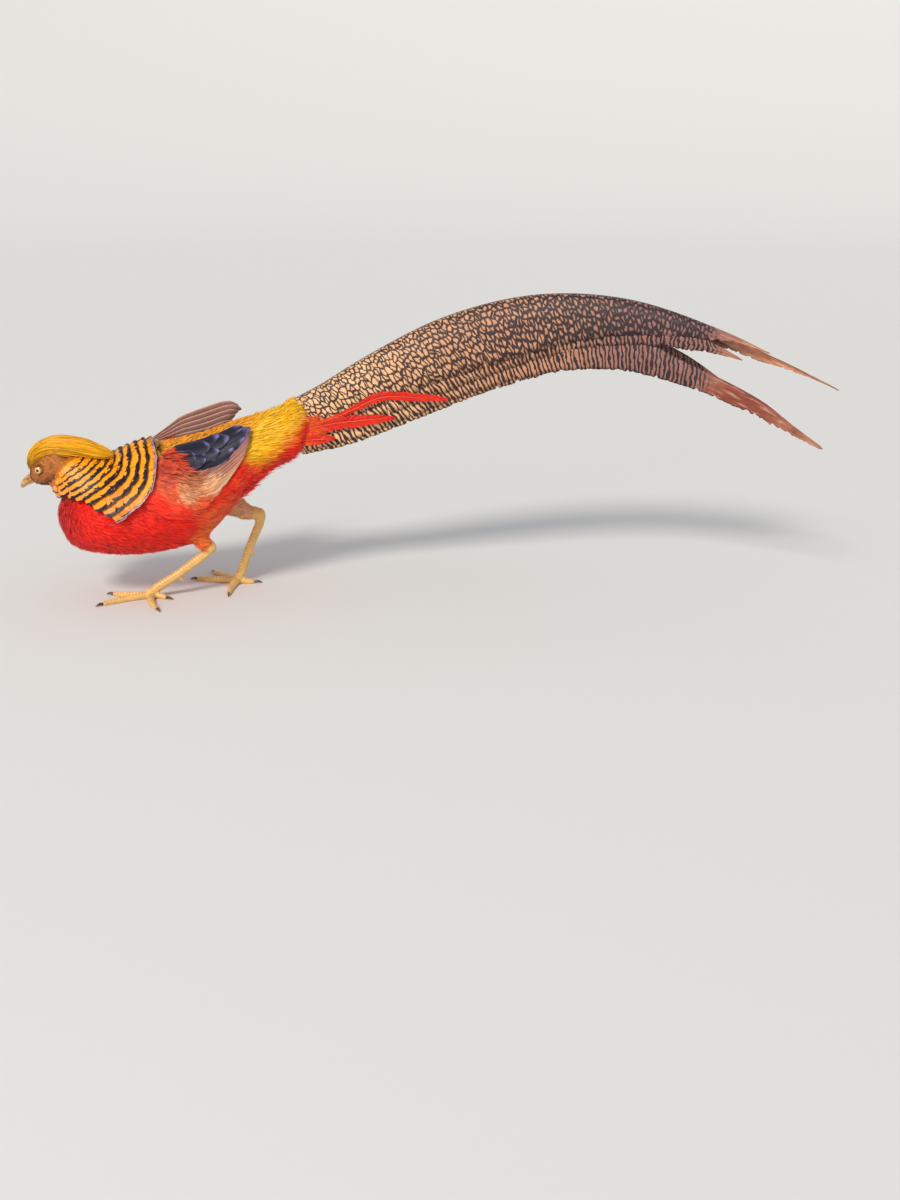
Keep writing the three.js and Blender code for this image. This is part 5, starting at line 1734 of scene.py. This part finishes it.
scaleMaterial, plateMaterial = makeScaleMaterial(), makePlateMaterial()
hornMaterial = makeHornMaterial("bill horn", tone(224, 172, 100), tone(172, 116, 58))
clawMaterial = makeHornMaterial("claw horn", tone(150, 112, 80), tone(70, 50, 40))
for sideName in ("left", "right"):
    leg = legs[sideName]
    front = np.array(leg["front"], float)
    plates = scutes(leg["shank"], front, (-34, 34), 37)
    for toe in leg["toes"].values():
        line = onToe(leg["hub"], toe, np.linspace(0.12, 1.0, 9))
        plates += scutes(line, np.array((0, 0, 1.0)), (0,), 62)
    shin = moulded(f"leg_{sideName}", [f"shank_{sideName}", f"foot_{sideName}"], 0.7, 14, 0.5, leg["hock"])
    points = pointsOf(shin)
    points[:, 2] = np.maximum(points[:, 2], 0.0)
    setPoints(shin, points)
    # painted shade: the downward-facing skin low on the feet darker
    paintedUnderShade = ease(-normalsOf(shin)[:, 2], 0.3, 0.9) * (points[:, 2] < 6)
    colour = blendTones(allOf(tones["legYellow"], len(points)), tone(190, 128, 72), 0.6 * paintedUnderShade)
    paintPoints(shin, colour)
    finishPiece(shin, scaleMaterial, "leg_scales", f"shank_{sideName}", f"foot_{sideName}")
    finishPiece(platesPiece(f"leg_plates_{sideName}", plates), plateMaterial, "leg_scales")
    for toe in leg["toes"]:
        node = f"claw_{sideName}_{toe}"
        claw = moulded(f"nail_{sideName}_{toe}", [node], 0.3, 5)
        paintPoints(claw, np.ones((len(claw.data.vertices), 3)))
        finishPiece(claw, clawMaterial, "horn", node)

bill = {"nostril": (21.5, 1.6, 3.5), "nostrilLong": 2.2, "nostrilHigh": 0.75, "nostrilDeep": 0.6}
for node in ("bill_upper", "bill_lower"):
    beak = moulded(node.replace("bill", "beak"), [node], 0.3, 5)
    points = pointsOf(beak)
    forward, up, side = headPlace(points)
    place = np.hypot((forward - bill["nostril"][0]) / bill["nostrilLong"],
                     (up - bill["nostril"][1]) / bill["nostrilHigh"])
    pit = (1 - ease(place, 0.5, 1.1)) * (np.abs(side) > 1.5) * (node == "bill_upper")
    setPoints(beak, points - headSide * (np.sign(side) * pit * bill["nostrilDeep"])[:, None])
    # the nostril dent painted near black: painted shade in its opening
    colour = blendTones(np.ones((len(points), 3)), np.array((0.16, 0.1, 0.07)), pit)
    colour = blendTones(colour, np.array((0.78, 0.6, 0.5)), 0.6 * (1 - ease(forward, 17, 22)))
    paintPoints(beak, colour)
    finishPiece(beak, hornMaterial, "horn", node)
print("legs, claws and bill shaped")

# Eyes, each in a ring of bare folded skin

eyes = {
    "pupil": 21, "iris": 44,  # degrees out from the middle of the eye
    "lidOpen": (47, 35, 40),  # the opening's half angle towards its corners, up and down
    "lidOut": 5.05, "lidRim": 5.0, "sunk": 1.6,  # mm further in than the plain frame has it
    "around": 64, "bands": 14,
}


def lidPiece(name, centre, look, forward):
    up = unit(np.cross(look, forward))
    up *= np.sign(up @ headUp)
    ahead = np.cross(up, look) * np.sign(np.cross(up, look) @ forward)
    lidTurn = np.linspace(0, 2 * math.pi, eyes["around"], endpoint=False)[:, None]
    corner, top, bottom = eyes["lidOpen"]
    high = np.where(np.sin(lidTurn) > 0, top, bottom)
    opening = 1 / np.sqrt((np.cos(lidTurn) / corner) ** 2 + (np.sin(lidTurn) / high) ** 2)
    band = np.linspace(0, 1, eyes["bands"])[None, :]
    rimward, outward = np.clip(band / 0.12, 0, 1), np.clip((band - 0.12) / 0.88, 0, 1)
    angle = np.radians(opening - 1.5 + 1.5 * rimward + (84 - opening) * outward)
    fold = 0.06 * np.sin(band * 26 + np.cos(lidTurn)) * ease(band, 0.1, 0.3)
    rim = 0.16 * np.exp(-(((band - 0.1) / 0.07) ** 2))
    radius = eyes["lidRim"] - 0.25 + (eyes["lidOut"] - eyes["lidRim"] + 0.25) * ease(band, 0, 0.12)
    radius = radius + rim + fold - 0.5 * ease(band, 0.2, 0.7)
    aroundWay = np.cos(lidTurn)[..., None] * ahead + np.sin(lidTurn)[..., None] * up
    way = np.cos(angle)[..., None] * look + np.sin(angle)[..., None] * aroundWay
    points = (centre + way * radius[..., None]).reshape(-1, 3)
    i, j = np.meshgrid(np.arange(eyes["around"]), np.arange(eyes["bands"] - 1), indexing="ij")
    a, b = i * eyes["bands"] + j, (i + 1) % eyes["around"] * eyes["bands"] + j
    quads = np.stack([a, a + 1, b + 1, b], -1).reshape(-1, 4)
    if np.dot(np.cross(ahead, up), look) > 0:
        quads = quads[:, ::-1]
    shade = 0.3 + 0.7 * ease(band, 0.03, 0.16) + 0 * lidTurn
    outer = ease(band + 0 * lidTurn, 0.1, 0.35).ravel()
    tints = blendTones(allOf(tones["lid"], len(points)), tones["tan"], outer)
    tints = tints * shade.reshape(-1, 1)
    u = np.stack([lidTurn / 6.2832 + 0 * band, band + 0 * lidTurn], -1).reshape(-1, 2)
    return meshPiece(name, points, [quads], {"OFBake": u}, tints)


lidMaterial, tree, shader = material("lid skin", 0.5, specular=0.45)
patch = useGroup(tree, mottle, Vector=objectPlace(tree), Size=900.0, Amount=0.5)
tree.links.new(shaded(tree, tinted(tree), patch.outputs[0]), shader.inputs["Base Color"])
bumpFrom(tree, shader, patch.outputs[0], 0.6, 0.0003)

eyeMaterial, tree, shader = material("eye", 0.08, specular=0.6, coatWeight=1.0)
tree.links.new(tinted(tree), shader.inputs["Base Color"])
for sideName, side in (("left", 1), ("right", -1)):
    centre = onHead(head["eye"][0], head["eye"][1], side * (head["eye"][2] - eyes["sunk"]))
    look = unit(headSide * side + headForward * 0.18 + headUp * 0.04)
    deselect()
    bpy.ops.mesh.primitive_uv_sphere_add(segments=64, ring_count=48, radius=head["eyeRadius"] / 1000)
    eye = bpy.context.object
    eye.name = f"eyeball_{sideName}"
    eye.rotation_mode = "QUATERNION"
    eye.rotation_quaternion = Vector(look).to_track_quat("Z", "Y")
    eye.location = metres(centre)
    bpy.ops.object.transform_apply(location=True, rotation=True, scale=True)
    bpy.ops.object.shade_smooth()
    angle = np.degrees(np.arccos(np.clip(unit(pointsOf(eye) - centre) @ look, -1, 1)))
    iris = blendTones(allOf(tone(244, 208, 96), len(angle)), tone(196, 132, 40), ease(angle, 30, 42))
    iris = blendTones(iris, tone(5, 4, 4), 1 - ease(angle, eyes["pupil"] - 3, eyes["pupil"] + 1))
    iris = blendTones(iris, tone(30, 18, 12), ease(angle, eyes["iris"] - 3, eyes["iris"] + 3))
    paintPoints(eye, iris)
    finishPiece(eye, eyeMaterial, "eye", f"eye_{sideName}")
    finishPiece(lidPiece(f"lids_{sideName}", centre, look, headForward), lidMaterial, "face_plumage")

# Floor, light and camera

studio = {
    "sweepRadius": 3.4, "sweepHeight": 3.0, "sweepBands": 18,
    "floorTone": (0.71, 0.695, 0.67, 1),
    "worldTone": (0.88, 0.93, 1.0, 1), "worldStrength": 0.62,
    "sunTurn": (48, 0, -38), "sunStrength": 2.1, "sunSoftness": 14, "sunTone": (1.0, 0.95, 0.88),
    "fillPlace": (-1.6, -1.9, 0.8), "fillAim": (-0.1, 0, 0.15), "fillSize": 1.2, "fillPower": 9,
    "fillTone": (1.0, 0.98, 0.96),
    "cameraPlace": (-0.3488, -1.7806, 0.560), "cameraTurn": (72.5, 0, -12), "lens": 53.8, "sensor": 36,
}
deselect()
bpy.ops.mesh.primitive_circle_add(vertices=128, radius=studio["sweepRadius"], fill_type="NGON")
floor = bpy.context.object
floor.name = "floor"
bpy.ops.object.mode_set(mode="EDIT")
bpy.ops.mesh.select_all(action="SELECT")
bpy.ops.mesh.inset(thickness=0.01)
bpy.ops.mesh.select_all(action="DESELECT")
bpy.ops.mesh.select_non_manifold()
for band in range(studio["sweepBands"]):
    first, last = (math.radians(90 * k / studio["sweepBands"]) for k in (band, band + 1))
    rise = studio["sweepHeight"] * (math.cos(first) - math.cos(last))
    out = 1 + studio["sweepHeight"] * (math.sin(last) - math.sin(first)) / studio["sweepRadius"]
    bpy.ops.mesh.extrude_region_move(TRANSFORM_OT_translate={"value": (0, 0, rise)})
    bpy.ops.transform.resize(value=(out, out, 1))
bpy.ops.mesh.select_all(action="SELECT")
bpy.ops.mesh.normals_make_consistent(inside=False)
bpy.ops.object.mode_set(mode="OBJECT")
bpy.ops.object.shade_smooth()
made, tree, shader = material("pale floor", 0.9, specular=0.1)
shader.inputs["Base Color"].default_value = studio["floorTone"]
floor.data.materials.append(made)

bpy.context.scene.view_settings.view_transform = "Standard"
world = bpy.data.worlds.new("studio")
bpy.context.scene.world = world
world.use_nodes = True
background = world.node_tree.nodes["Background"]
background.inputs["Color"].default_value = studio["worldTone"]
background.inputs["Strength"].default_value = studio["worldStrength"]

deselect()
bpy.ops.object.light_add(type="SUN", rotation=[math.radians(a) for a in studio["sunTurn"]])
sun = bpy.context.object
sun.name = "key"
sun.data.energy, sun.data.angle = studio["sunStrength"], math.radians(studio["sunSoftness"])
sun.data.color = studio["sunTone"]

deselect()
bpy.ops.object.light_add(type="AREA", location=studio["fillPlace"])
fill = bpy.context.object
fill.name = "fill"
fill.data.shape, fill.data.size = "DISK", studio["fillSize"]
fill.data.energy, fill.data.color = studio["fillPower"], studio["fillTone"]
fillWay = Vector(studio["fillAim"]) - Vector(studio["fillPlace"])
fill.rotation_euler = fillWay.to_track_quat("-Z", "Y").to_euler()

deselect()
cameraTurn = [math.radians(a) for a in studio["cameraTurn"]]
bpy.ops.object.camera_add(location=studio["cameraPlace"], rotation=cameraTurn)
camera = bpy.context.object
camera.data.lens, camera.data.sensor_width = studio["lens"], studio["sensor"]
bpy.context.scene.camera = camera
